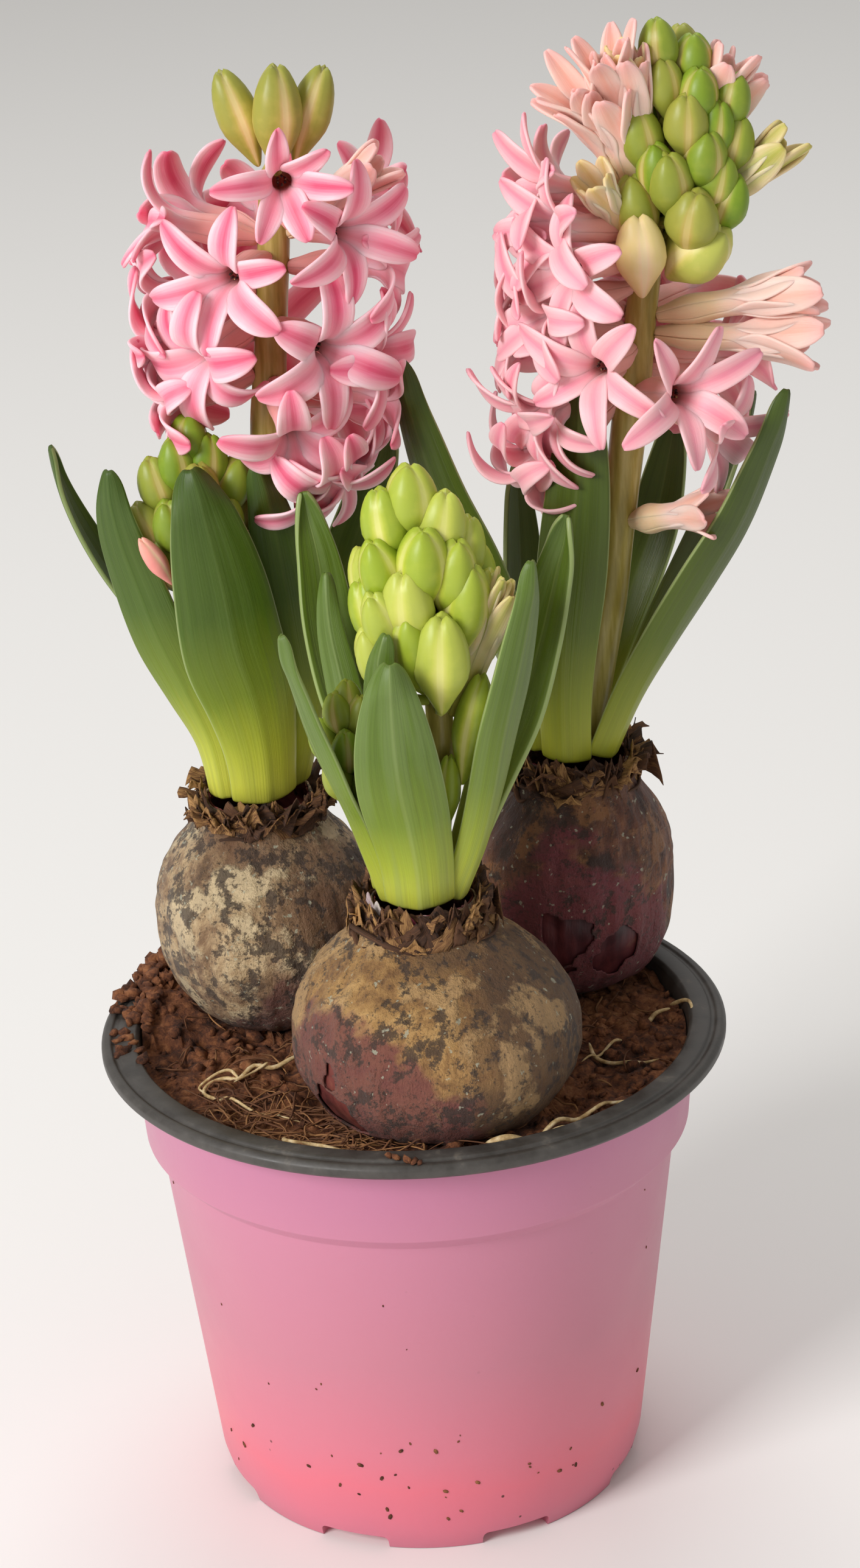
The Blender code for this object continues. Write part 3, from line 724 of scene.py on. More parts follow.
# %% [markdown]
# ## The bulbs: shape
# The CAD bulb gives the middle and radius of ten rings. A strip rolled through them, with far more rings,
# takes the lumps and the pleats. The papery skin is a second, slightly larger strip, and its faces are
# deleted where it has torn away, so its ragged edge is real and casts a thin shadow.
# %% The bulbs: shape
BULB_SIDES = 150
BULB_ROWS = 90
TORN_FROM = 0.40  # the skin has a hole where it is bare by more than this
BARE = {  # where the papery skin has gone: bearing, rise, how wide, for each bulb
    "front": [(222, -20, 0.62), (243, -42, 0.60), (330, -66, 0.30)],
    "left": [(285, -40, 0.42), (279, -8, 0.16), (30, -40, 0.3)],
    "right": [(268, 4, 0.62), (296, -8, 0.60), (215, -40, 0.4), (90, -30, 0.5)],
}
SHADED = {  # painted shade: where the skin is drawn darker on its shaded sides: bearing, rise, how wide
    "front": [(338, 15, 0.90), (285, 70, 0.45), (300, -28, 0.55), (225, -30, 0.35)],
    "left": [(318, 30, 0.62), (250, 72, 0.40), (245, -44, 0.40)],
    "right": [(245, 62, 0.45), (222, -15, 0.50), (10, 0, 0.5), (270, -44, 0.4)],
}


def bulb_shape(plant, grown):
    """A function that gives the surface of a bulb at side and t, pushed out by grown millimetres."""
    rings = cad_rings(f"bulb_{plant}")
    middle_at = smooth_path([middle for middle, radius in rings])
    radius_at = smooth_path([(radius, 0, 0) for middle, radius in rings])
    seed = {"front": 1.7, "left": 5.2, "right": 9.4}[plant]

    def place(side, t):
        turn = math.pi * side
        rounded = 0.5 - 0.5 * math.cos(math.pi * t) if t < 0.5 else t
        middle, radius = middle_at(rounded), max(radius_at(rounded).x, 0.0)
        out = Vector((math.cos(turn), math.sin(turn), 0))
        lumps = noise.noise(Vector((out.x * 1.6, out.y * 1.6, t * 2.2 + seed)))
        pleats = noise.noise(Vector((out.x * 9, out.y * 9, t * 1.5 + seed)))
        crumple = noise.noise(Vector((out.x * 16, out.y * 16, t * 16 + seed)))
        fade = min(1.0, radius / 10)
        return middle + out * (radius + grown + fade * (0.9 * lumps + 0.45 * pleats + 0.36 * crumple))

    return place


def amount(places, spot, middle):
    """Above 0 in the middle of one of the places (bearing, rise, how wide), and less further off."""
    away = (spot - middle).normalized()
    return max(width - (away - direction(bearing, rise)).length for bearing, rise, width in places)


def bare_amount(plant, spot, middle):
    """Above 0 where the papery skin is thin or torn, and falling to -1 far from the tear."""
    ragged = 0.20 * noise.noise(spot * 0.11) + 0.10 * noise.noise(spot * 0.35)
    ragged += 0.05 * noise.noise(spot * 1.3)
    return max(amount(BARE[plant], spot, middle) + ragged, -1.0)


def make_bulb(plant):
    papery, living = bulb_skins[plant]
    node_name = f"bulb_{plant}"
    low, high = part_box(node_name)
    size = (high.x - low.x) / 2 / MM
    middle = (low + high) / 2 / MM
    middle.z = low.z / MM + size * 0.8
    bm = bmesh.new()
    strip(bm, BULB_SIDES, BULB_ROWS, bulb_shape(plant, 0.0))
    bmesh.ops.remove_doubles(bm, verts=bm.verts, dist=1e-3)
    piece(f"living_{node_name}", bm, [living], "bulb_skin", node_name)
    bm = bmesh.new()
    strip(bm, BULB_SIDES, BULB_ROWS, bulb_shape(plant, 0.45))
    bmesh.ops.remove_doubles(bm, verts=bm.verts, dist=1e-3)
    side_mark, along_mark, tone_mark = marks(bm)
    for vertex in bm.verts:
        vertex[tone_mark] = 0.5 + bare_amount(plant, vertex.co, middle)
        # The side mark carries the painted shade from SHADED.
        vertex[side_mark] = max(amount(SHADED[plant], vertex.co, middle), -1.0)
    torn = [face for face in bm.faces if bare_amount(plant, face.calc_center_median(), middle) > TORN_FROM]
    bmesh.ops.delete(bm, geom=torn, context="FACES")
    for turn in range(3):
        edge_points = [vertex for vertex in bm.verts if vertex.is_boundary]
        bmesh.ops.smooth_vert(
            bm, verts=edge_points, factor=0.5, use_axis_x=True, use_axis_y=True, use_axis_z=True,
        )
    for vertex in bm.verts:
        if vertex.is_boundary:
            vertex.co += (vertex.co - middle).normalized() * 0.25
    skin = piece(f"papery_{node_name}", bm, [papery], "bulb_skin", node_name)
    thicken(skin, 0.35, levels=0)
    print(node_name, "papery faces:", len(skin.data.polygons))


for plant in BARE:
    make_bulb(plant)

# %% [markdown]
# ## The collars
# Round the neck, the tops of the old scales have dried into brown rags. Their colour runs in fine veins
# from dark to light brown, and it reads the marks of each strip, so that no two rags look the same.
# %% The collars: finish
def rag_finish(name, dark, brown, light):
    finish = new_finish(name)
    side, along, tone = read_marks(finish)
    flat = node(finish, "CombineXYZ", {"X": side, "Y": along, "Z": tone})
    stretched = node(finish, "Mapping", {"Vector": flat, "Scale": (9.0, 1.6, 31.0)})
    veins = node(finish, "TexNoise", {"Vector": stretched, "Scale": 1.6, "Detail": 5.0, "Roughness": 0.7})
    shade = node(finish, "Math", {0: tone, 1: 0.55, 2: veins}, operation="MULTIPLY_ADD")
    rag = node(finish, "ValToRGB", {0: shade}, [(0.45, dark), (0.80, brown), (1.12, light)])
    return surface(finish, veins, 0.8, 0.0006, {"Base Color": rag, "Roughness": 0.78})


rag_brown = rag_finish("dried_scale_rags", "#2A1810", "#6B4427", "#B58852")
rag_pale = rag_finish("fresh_inner_scale", "#7E5A5E", "#B89AA0", "#E6DAD2")
rag_crimson = rag_finish("crimson_inner_scale", "#5A1426", "#8E2440", "#B05068")

# %% [markdown]
# A collar is many short strips that stand round the neck: each leans in at its foot, curls out at its
# top, and ends in a torn edge. Thin cords of matted scale wind round them.
# %% The collars: shape
COLLARS = {  # rags, their shortest and longest, how far they curl out, and how far down the neck they start
    "front": (150, 3.5, 9.5, 1.2, 0.86),
    "left": (140, 3.5, 9.0, 1.7, 0.89),
    "right": (150, 3.5, 10.0, 2.0, 0.87),
}


def rag(bm, rng, middle, radius, bearing, length, width, curl, lean):
    """One torn scale: wrapped to the neck at its foot, and crumpled and curled out at its top."""
    seed = rng.uniform(0, 50)
    sweep = rng.gauss(0, 0.45)
    point = rng.uniform(-0.7, 0.7)

    def place(side, t):
        turn = math.radians(bearing) + (side * width * 0.5 * (1 - 0.45 * t) + sweep * length * t) / radius
        torn = 1 - 0.55 * abs(side - point) * t - 0.35 * abs(noise.noise(Vector((side * 3.5, seed, 0))))
        folds = 0.55 * noise.noise(Vector((side * 1.2, t * 5.5, seed)))
        folds += 0.4 * noise.noise(Vector((side * 5, t * 2, seed)))
        out = radius + 0.5 + curl * t**2 * (1 + 0.5 * side * sweep) + folds
        up = length * t * torn + 0.6 * noise.noise(Vector((side * 2, t * 4, seed + 9)))
        return middle + Vector((math.cos(turn), math.sin(turn), 0)) * out + Vector((0, 0, up)) + lean * t

    strip(bm, 6, 9, place, rng.random())


NECK_TOP = 0.955  # how far along the bulb's line its neck ends
NECK_FOOT = 0.93  # where the neck is as narrow as it gets
NECK_WIDEST = 13.6


def make_collar(plant):
    count, shortest, longest, curl, start = COLLARS[plant]
    rng = random.Random(len(plant))
    rings = cad_rings(f"bulb_{plant}")
    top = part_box(f"bulb_{plant}")[1].z / MM
    neck_at = smooth_path([middle for middle, radius in rings])
    radius_at = smooth_path([(radius, 0, 0) for middle, radius in rings])
    bm = bmesh.new()
    for index in range(count):
        t = rng.uniform(start, 0.99)
        middle = neck_at(min(t, NECK_TOP))
        radius = min(radius_at(min(t, NECK_FOOT)).x, NECK_WIDEST)
        middle.z = mix(neck_at(start).z, top, (t - start) / (1 - start))
        bearing = 360 * index / count * 7 + rng.uniform(-20, 20)
        length = min(rng.uniform(shortest, longest), top + rng.uniform(1.0, 5.0) - middle.z)
        lean = (neck_at(1.0) - middle) * 0.7
        lean.z = 0
        pull = mix(0.9, 0.0, ease(start, 0.99, t)) * (radius - 11.2) * 0.7
        out = curl * rng.uniform(-0.8, 2.4) - pull
        away = radius * rng.uniform(0.96, 1.05)
        rag(bm, rng, middle, away, bearing, length, rng.uniform(2.0, 7.5), out, lean)
    for index in range(26):
        height = rng.uniform(start, 0.99)
        start_turn, sweep = rng.uniform(0, 360), rng.uniform(35, 110)
        ring_middle = neck_at(min(height, NECK_TOP))
        ring_middle.z = mix(neck_at(start).z, top, (height - start) / (1 - start))
        away = min(radius_at(min(height, NECK_FOOT)).x, NECK_WIDEST) + rng.uniform(0.2, 1.3)
        points = [
            ring_middle + direction(start_turn + sweep * i / 5) * away + Vector((0, 0, rng.gauss(0, 0.9)))
            for i in range(6)
        ]
        thick = rng.uniform(0.25, 0.6)
        tube(bm, points, lambda t: thick * (1 - abs(2 * t - 1) ** 6), 5, 20, rng.random() * 0.7)
    made = piece(f"collar_{plant}", bm, [rag_brown], "tunic", f"tunic_{plant}", closed=False)
    thicken(made, 0.22, levels=0)
    print("collar", plant, count, "rags")


for plant in COLLARS:
    make_collar(plant)

# %% [markdown]
# On the front bulb, two fresh scales show inside the rags: one pale with a violet tinge, one crimson.
# %% The collars: the fresh scale that shows at the front
pale_rng = random.Random(3)
front_top = cad_rings("bulb_front")[-1][0]
FRESH = [  # piece, finish, then for each scale: bearing, height under the neck's top, length and width
    ("fresh_scale_front", rag_pale, [(222, -3.5, 8.0, 7.0), (234, -3.8, 8.5, 7.0)]),
    ("crimson_scale_front", rag_crimson, [(254, -4.2, 5.5, 7.5), (264, -4.4, 5.2, 6.5)]),
]
for name, finish, scales in FRESH:
    pale = bmesh.new()
    for bearing, height, length, width in scales:
        rag(pale, pale_rng, front_top + Vector((0, 0, height)), 10.4, bearing, length, width, 0.9, Vector())
    thicken(piece(name, pale, [finish], "tunic", "tunic_front", closed=False), 0.4)

# %% [markdown]
# ## The leaves: finish
# A hyacinth leaf is thick, smooth and waxy. Parallel veins run its whole length. It is deep green in the
# blade, fades to yellow-green in the sheath, and has a thin pale margin. The wax shows as a faint blue
# bloom that comes and goes.
# %% The leaves: finish
def leaf_finish(name, stops, wax, bloom, rib):
    finish = new_finish(name)
    side, along, tone = read_marks(finish)
    place = node(finish, "TexCoord").outputs["Object"]
    flat = node(finish, "CombineXYZ", {"X": side, "Y": along, "Z": tone})
    drawn = node(finish, "Mapping", {"Vector": flat, "Scale": (14.0, 0.9, 31.0)})
    veins = node(finish, "TexNoise", {"Vector": drawn, "Scale": 1.0, "Detail": 3.0, "Roughness": 0.6})
    broad = node(finish, "Mapping", {"Vector": flat, "Scale": (2.2, 1.1, 17.0)})
    cloud = node(finish, "TexNoise", {"Vector": broad, "Scale": 1.3, "Detail": 3.0})
    wavering = node(finish, "Math", {0: veins, 1: 0.16, 2: along}, operation="MULTIPLY_ADD")
    level = node(finish, "Math", {0: wavering, 1: 0.08}, operation="SUBTRACT")
    green = node(finish, "ValToRGB", {0: level}, stops)
    lined = node(finish, "ValToRGB", {0: veins}, [(0.32, 0.72), (0.66, 1.0)])
    veined = node(finish, "Mix", {FACTOR: 0.75, FIRST: green, SECOND: lined}, blend_type="MULTIPLY")
    waxy = node(finish, "ValToRGB", {0: cloud}, [(0.44, 0.0), (0.60, bloom)])
    waxed = node(finish, "Mix", {FACTOR: waxy, FIRST: veined, SECOND: wax})
    edge = node(finish, "Math", {0: side}, operation="ABSOLUTE")
    margin = node(finish, "ValToRGB", {0: edge}, [(0.02, rib), (0.07, 0.0), (0.95, 0.0), (0.995, 0.55)])
    edged = node(finish, "Mix", {FACTOR: margin, FIRST: waxed, SECOND: "#A9B67A"})
    fine = node(finish, "TexNoise", {"Vector": place, "Scale": 1500.0, "Detail": 2.0})
    relief = node(finish, "Math", {0: fine, 1: 0.25, 2: veins}, operation="MULTIPLY_ADD")
    dull = node(finish, "ValToRGB", {0: cloud}, [(0.3, 0.36), (0.7, 0.5)])
    return surface(finish, relief, 0.3, 0.0004, {
        "Base Color": edged, "Roughness": dull, "IOR": 1.45,
    }, (0.18, (0.7, 1.0, 0.3), 0.0015))


leaf_finishes = {
    "left": leaf_finish("waxy_leaf_deep", [
        (0.0, "#D4D24E"), (0.16, "#B9BF36"), (0.36, "#7B8D1C"), (0.6, "#476009"), (1.0, "#39510A"),
    ], "#65793A", 0.18, 0.04),
    "front": leaf_finish("waxy_leaf_blue", [
        (0.0, "#C0C24A"), (0.16, "#A6B236"), (0.36, "#7A8F2C"), (0.65, "#5E7620"), (1.0, "#597124"),
    ], "#80925E", 0.26, 0.18),
    "right": leaf_finish("waxy_leaf_olive", [
        (0.0, "#B0B234"), (0.16, "#8E9820"), (0.34, "#607214"), (0.6, "#48590D"), (1.0, "#42550F"),
    ], "#64783A", 0.14, 0.08),
}

# %% [markdown]
# ## The leaves: shape
# Each leaf follows the middle line of its CAD node. Across, it is a channel: deep in the sheath, almost
# flat in the blade, and hooded at the tip, where the margins close over a blunt point.
# %% The leaves: shape
TIP_SWINGS = {  # how far a blade's tip has bent away from the line of its solid
    "right_front": (0.5, 0.0, 13.0), "left_inner": (-1.5, -25.0, 2.0), "front_second": (3.0, 1.0, 2.0),
}
LEAVES = {  # bearing it faces away from the bulb, full width, width of the sheath, channel depth, tip hood
    "left_outer": (165, 9.0, 0.75, 0.55, 0.6),
    "left_side": (248, 13.0, 0.55, 0.38, 0.6),
    "left_front": (285, 21.5, 0.66, 0.34, 0.9),
    "left_inner": (292, 13.5, 0.60, 0.36, 0.7),
    "left_back": (75, 12.5, 0.60, 0.40, 0.6),
    "front_outer": (206, 9.5, 0.70, 0.45, 0.8),
    "front_back": (112, 12.5, 0.60, 0.35, 0.6),
    "front_small": (262, 7.5, 0.60, 0.40, 0.6),
    "front_main": (268, 17.5, 0.82, 0.38, 1.0),
    "front_second": (238, 10.0, 0.60, 0.40, 0.8),
    "front_right": (310, 10.5, 0.72, 0.50, 0.7),
    "front_far_right": (44, 14.0, 0.55, 0.45, 0.7),
    "right_front": (252, 15.0, 0.72, 0.34, 0.6),
    "right_outer": (315, 13.0, 0.72, 0.42, 0.7),
    "right_far": (12, 12.0, 0.60, 0.40, 0.6),
    "right_back": (70, 12.0, 0.60, 0.40, 0.6),
    "right_shadow": (128, 11.0, 0.60, 0.40, 0.6),
    "right_inner": (238, 12.5, 0.60, 0.40, 0.7),
}
CAD_LEAF_ROWS = 7
LEAF_THICKNESS = 1.1


def leaf_width(t, sheath):
    """Share of the full width: a narrow sheath, a broad blade and a blunt tip."""
    blade = mix(sheath, 1.0, ease(0.0, 0.5, t))
    fall = max(0.0, (t - 0.45) / 0.55)
    return blade * (1 - 0.985 * fall**2.1) ** 0.56


def make_leaf(name, bearing, width, sheath, depth, hood):
    middles = middle_line(f"leaf_{name}", CAD_LEAF_ROWS)
    swing = Vector(TIP_SWINGS.get(name, (0, 0, 0)))
    spine = smooth_path([spot + swing * (i / (len(middles) - 1)) ** 0.7 for i, spot in enumerate(middles)])
    outward = direction(bearing)
    seed = sum(ord(letter) for letter in name) * 0.37

    def place(side, t):
        ahead = (spine(t + 0.03) - spine(t - 0.03)).normalized()
        inward = -(outward - outward.project(ahead)).normalized()
        half = 0.5 * width * leaf_width(t, sheath)
        channel = depth * mix(1.25, 0.55, ease(0.0, 0.55, t)) + hood * ease(0.86, 1.0, t)
        cup = half * channel * (side * side - 0.45)
        groove = -0.35 * math.exp(-((side / 0.12) ** 2)) * (1 - 0.6 * t)
        wave = 0.5 * noise.noise(Vector((t * 3.2, side * 0.7, seed))) * t
        nod = 1.3 * hood * ease(0.9, 1.0, t)
        narrowed = side * (1 - 0.12 * channel * side * side)
        return spine(t) + ahead.cross(inward) * half * narrowed + inward * (cup + groove + wave + nod)

    bm = bmesh.new()
    strip(bm, 16, 44, place, (seed * 7) % 1)
    made = piece(f"blade_{name}", bm, [leaf_finishes[name.split("_")[0]]], "leaf", f"leaf_{name}")
    thicken(made, LEAF_THICKNESS)


for name, shape in LEAVES.items():
    make_leaf(name, *shape)
print(len(LEAVES), "leaves")

# %% [markdown]
# ## The stems
# A flower stem is a juicy stalk, olive where it is in the sun, with short pale streaks along it. It is a
# tube with a slightly uneven outline, from the neck of the bulb up into its buds.
# %% The stems
def stem_finish():
    finish = new_finish("juicy_stem")
    place = node(finish, "TexCoord").outputs["Object"]
    drawn = node(finish, "Mapping", {"Vector": place, "Scale": (1.0, 1.0, 0.12)})
    streaks = node(finish, "TexNoise", {"Vector": drawn, "Scale": 700.0, "Detail": 4.0})
    cloud = node(finish, "TexNoise", {"Vector": place, "Scale": 50.0, "Detail": 2.0})
    both = node(finish, "Math", {0: cloud, 1: 0.6, 2: streaks}, operation="MULTIPLY_ADD")
    olive = node(finish, "ValToRGB", {0: both}, [(0.55, "#8A7C34"), (0.8, "#A8984C"), (1.05, "#C2B36C")])
    return surface(finish, streaks, 0.3, 0.0004, {
        "Base Color": olive, "Roughness": 0.34, "IOR": 1.42,
    }, (0.15, (1.0, 0.8, 0.3), 0.0015))


olive_stem = stem_finish()
STEM_RADII = {  # at the foot, at the top, and how high the stem goes into its buds
    "left": (4.1, 3.0, 4.0), "right": (4.7, 2.0, 0.0), "front": (4.0, 2.2, 0.0),
    "left_young": (2.0, 1.6, 0.0), "front_young": (1.4, 1.1, 0.0),
}
for plant, (foot, top, extra) in STEM_RADII.items():
    points = list(axes[plant])
    points[-1] = points[-1] + Vector((0, 0, extra))
    bm = bmesh.new()

    def stem_radius(t):
        uneven = 0.12 * noise.noise(Vector((t * 9, foot, 0)))
        return mix(foot, top, t) * (1 + uneven) * (1 - ease(0.94, 1.0, t) ** 3)

    tube(bm, points, stem_radius, 24, 60)
    piece(f"stalk_{plant}", bm, [olive_stem], "stem", f"stem_{plant}")

# %% [markdown]
# ## The florets: finish
# A tepal is thick and full of water, so light goes a little way into it. A deep pink stripe runs down
# its middle and pales to the margins. The throat is nearly white, and the tube outside is a duller pink.
# Each tepal has its own tone, because the flowers on a spike open one after the other.
# %% The florets: finish
def tepal_finish(name, stripe, middle, margin, tube_shade, tip):
    finish = new_finish(name)
    side, along, tone = read_marks(finish)
    place = node(finish, "TexCoord").outputs["Object"]
    flat = node(finish, "CombineXYZ", {"X": side, "Y": along, "Z": tone})
    drawn = node(finish, "Mapping", {"Vector": flat, "Scale": (5.0, 1.4, 23.0)})
    grain = node(finish, "TexNoise", {"Vector": drawn, "Scale": 1.5, "Detail": 4.0, "Roughness": 0.6})
    edge = node(finish, "Math", {0: side}, operation="ABSOLUTE")
    uneven = node(finish, "Math", {0: grain, 1: 0.5, 2: edge}, operation="MULTIPLY_ADD")
    level = node(finish, "Math", {0: uneven, 1: 0.25}, operation="SUBTRACT")
    striped = node(finish, "ValToRGB", {0: level}, [(0.04, stripe), (0.32, middle), (0.84, margin)])
    at_throat = node(finish, "ValToRGB", {0: along}, [(0.42, 0.75), (0.74, 0.0)])
    faded = node(finish, "Mix", {FACTOR: at_throat, FIRST: striped, SECOND: margin})
    young = node(finish, "ValToRGB", {0: tone}, [(0.0, 0.0), (1.0, 0.55)])
    paled = node(finish, "Mix", {FACTOR: young, FIRST: faded, SECOND: margin})
    in_tube = node(finish, "ValToRGB", {0: along}, [(0.34, 1.0), (0.52, 0.0)])
    tubed = node(finish, "Mix", {FACTOR: in_tube, FIRST: paled, SECOND: tube_shade})
    at_tip = node(finish, "ValToRGB", {0: along}, [(0.86, 0.0), (1.0, 0.6)])
    tipped = node(finish, "Mix", {FACTOR: at_tip, FIRST: tubed, SECOND: tip})
    fine = node(finish, "TexNoise", {"Vector": place, "Scale": 1800.0, "Detail": 2.0})
    relief = node(finish, "Math", {0: fine, 1: 0.2, 2: grain}, operation="MULTIPLY_ADD")
    return surface(finish, relief, 0.25, 0.0004, {
        "Base Color": tipped, "Roughness": 0.46, "IOR": 1.4, "Sheen Weight": 0.08,
    }, (0.3, (1.0, 0.45, 0.4), 0.0015))


deep_pink = tepal_finish("deep_pink_tepal", "#DC4C72", "#EE7F9A", "#FBCAD2", "#EDA29C", "#E2607F")
pale_pink = tepal_finish("pale_pink_tepal", "#EB8BA0", "#F3A5B1", "#FAC6CA", "#F0AEA4", "#E68FA2")
peach = tepal_finish("half_open_tepal", "#EDB09C", "#F2BFAF", "#F7D2C6", "#E6C49C", "#F0A9AA")
yellow_peach = tepal_finish("yellow_half_open_tepal", "#D9BC78", "#E6CC9A", "#F0D9BC", "#C9BC62", "#DDC678")
green_peach = tepal_finish("green_half_open_tepal", "#A8A83E", "#C6BC6C", "#E6CFA4", "#B4AA4C", "#C4BC5C")

# %% [markdown]
# ## The florets: shape
# A floret is six fleshy tepals. They are joined into a tube for the lower half, and then spread into a
# star and curl back. Here each tepal is one strip: its middle line is walked in short steps, first up
# the tube and then turning outwards, and its width goes from a sixth of the tube to a blunt blade.
# %% The florets: shape
TEPALS = 6
THROAT = 2.3
PEDICEL = 1.1
TUBE_SHARE = 0.42  # the rows of a tepal that lie in the tube
TEPAL_ROWS = 18


def tepal_line(tube_length, lobe, flare):
    """(radius, height, lean) at each row of a tepal, for a floret that stands on the origin."""
    line = []
    radius, height = THROAT, tube_length
    tube_rows = round(TUBE_SHARE * TEPAL_ROWS)
    for row in range(tube_rows):
        share = row / tube_rows
        swell = mix(PEDICEL, THROAT + 0.5, ease(0.0, 0.5, share)) - 0.5 * ease(0.5, 0.85, share)
        line.append((swell, tube_length * share, 0.0))
    lobe_rows = TEPAL_ROWS - tube_rows
    for row in range(lobe_rows + 1):
        share = row / lobe_rows
        lean = math.radians(flare) * (1 - (1 - share) ** 1.5) ** 0.9
        line.append((radius, height, lean))
        radius += math.sin(lean) * lobe / lobe_rows
        height += math.cos(lean) * lobe / lobe_rows
    return line


def add_floret(bm, rng, foot, way, tube_length, lobe, flare, roll, breadth):
    """Adds one floret: flare is how far its tepals lean over at their tips, in degrees."""
    stand = aimed(foot, way, roll)
    for index in range(TEPALS):
        inner = index % 2
        turn = math.tau * index / TEPALS + rng.gauss(0, 0.06)
        own_lobe = lobe * rng.uniform(0.86, 1.12)
        line = tepal_line(tube_length, own_lobe, flare * rng.uniform(0.72, 1.2) + 6 * inner)
        twist = rng.gauss(0, 0.22) * min(1.0, flare / 60)
        drift = rng.gauss(0, 0.14) * min(1.0, flare / 60)
        wide = breadth * rng.uniform(0.9, 1.08) * (0.94 + 0.1 * inner)
        phase = rng.uniform(0, 6)
        outward = Vector((math.cos(turn), math.sin(turn), 0))
        across = Vector((-math.sin(turn), math.cos(turn), 0))

        def place(side, t):
            row = min(round(t * TEPAL_ROWS), TEPAL_ROWS)
            radius, height, lean = line[row]
            blade = max(0.0, (t - TUBE_SHARE) / (1 - TUBE_SHARE))
            inside = math.sin(lean) * Vector((0, 0, 1)) - math.cos(lean) * outward
            in_tube = 1 - ease(0.0, 0.3, blade)
            swell = mix(0.62, 1.0, ease(0.0, 0.45, blade))
            fall = max(0.0, (blade - 0.5) / 0.5)
            half = mix(wide * swell * (1 - 0.93 * fall**2.3) ** 0.55, 0.56 * radius, in_tube)
            cup = mix(0.16 * half * (1 - blade) + 0.10 * half, 0.14 * radius, in_tube) * side * side
            keel = -0.22 * math.exp(-((side / 0.25) ** 2)) * (1 - in_tube)
            wave = 0.3 * side * math.sin(2.6 * math.pi * blade + phase) * (1 - in_tube)
            layer = (0.22 * inner - 0.1) * (1 - 0.5 * in_tube)
            spine = math.sin(lean) * outward + math.cos(lean) * Vector((0, 0, 1))
            tilt = Matrix.Rotation(twist * blade, 3, spine)
            offset = tilt @ (across * half * side + inside * (cup + keel + wave + layer))
            spot = outward * radius + Vector((0, 0, height)) + across * drift * lobe * blade**2 + offset
            return stand @ spot

        strip(bm, 6, TEPAL_ROWS, place, rng.random() * 0.5)


def add_anthers(bm, rng, foot, way, tube_length, roll):
    """Adds the six dark anthers that show in the throat."""
    stand = aimed(foot, way, roll + 30)
    for index in range(TEPALS):
        turn = math.tau * index / TEPALS + rng.uniform(-0.2, 0.2)
        height = tube_length - 0.6 + rng.uniform(-0.3, 0.5)
        spot = Vector((0.8 * math.cos(turn), 0.8 * math.sin(turn), height))
        made = bmesh.ops.create_icosphere(bm, subdivisions=1, radius=1)["verts"]
        for vertex in made:
            vertex.co = stand @ (spot + vertex.co * Vector((0.32, 0.32, 0.9)))


# %% [markdown]
# Six dark anthers sit deep in each throat, which gives the flower its eye. The florets that face the
# front are placed one by one, and those behind fill the spike in the same rhythm. An open floret shows
# its face, so the tables give the place of the face, and the tube runs from there back to the stem.
# %% The florets: anthers and places
def anther_finish():
    finish = new_finish("anther")
    place = node(finish, "TexCoord").outputs["Object"]
    grain = node(finish, "TexNoise", {"Vector": place, "Scale": 1600.0, "Detail": 3.0})
    dark = node(finish, "ValToRGB", {0: grain}, [(0.4, "#2A1418"), (0.55, "#4A2A24"), (0.66, "#A98B5A")])
    return surface(finish, grain, 0.6, 0.0003, {"Base Color": dark, "Roughness": 0.7})


anther_brown = anther_finish()
HALF_OPEN_BELOW = 40  # a floret with less flare than this still has the peach of a young one
ANTHERS_FROM = 50  # and one with more flare than this shows its anthers
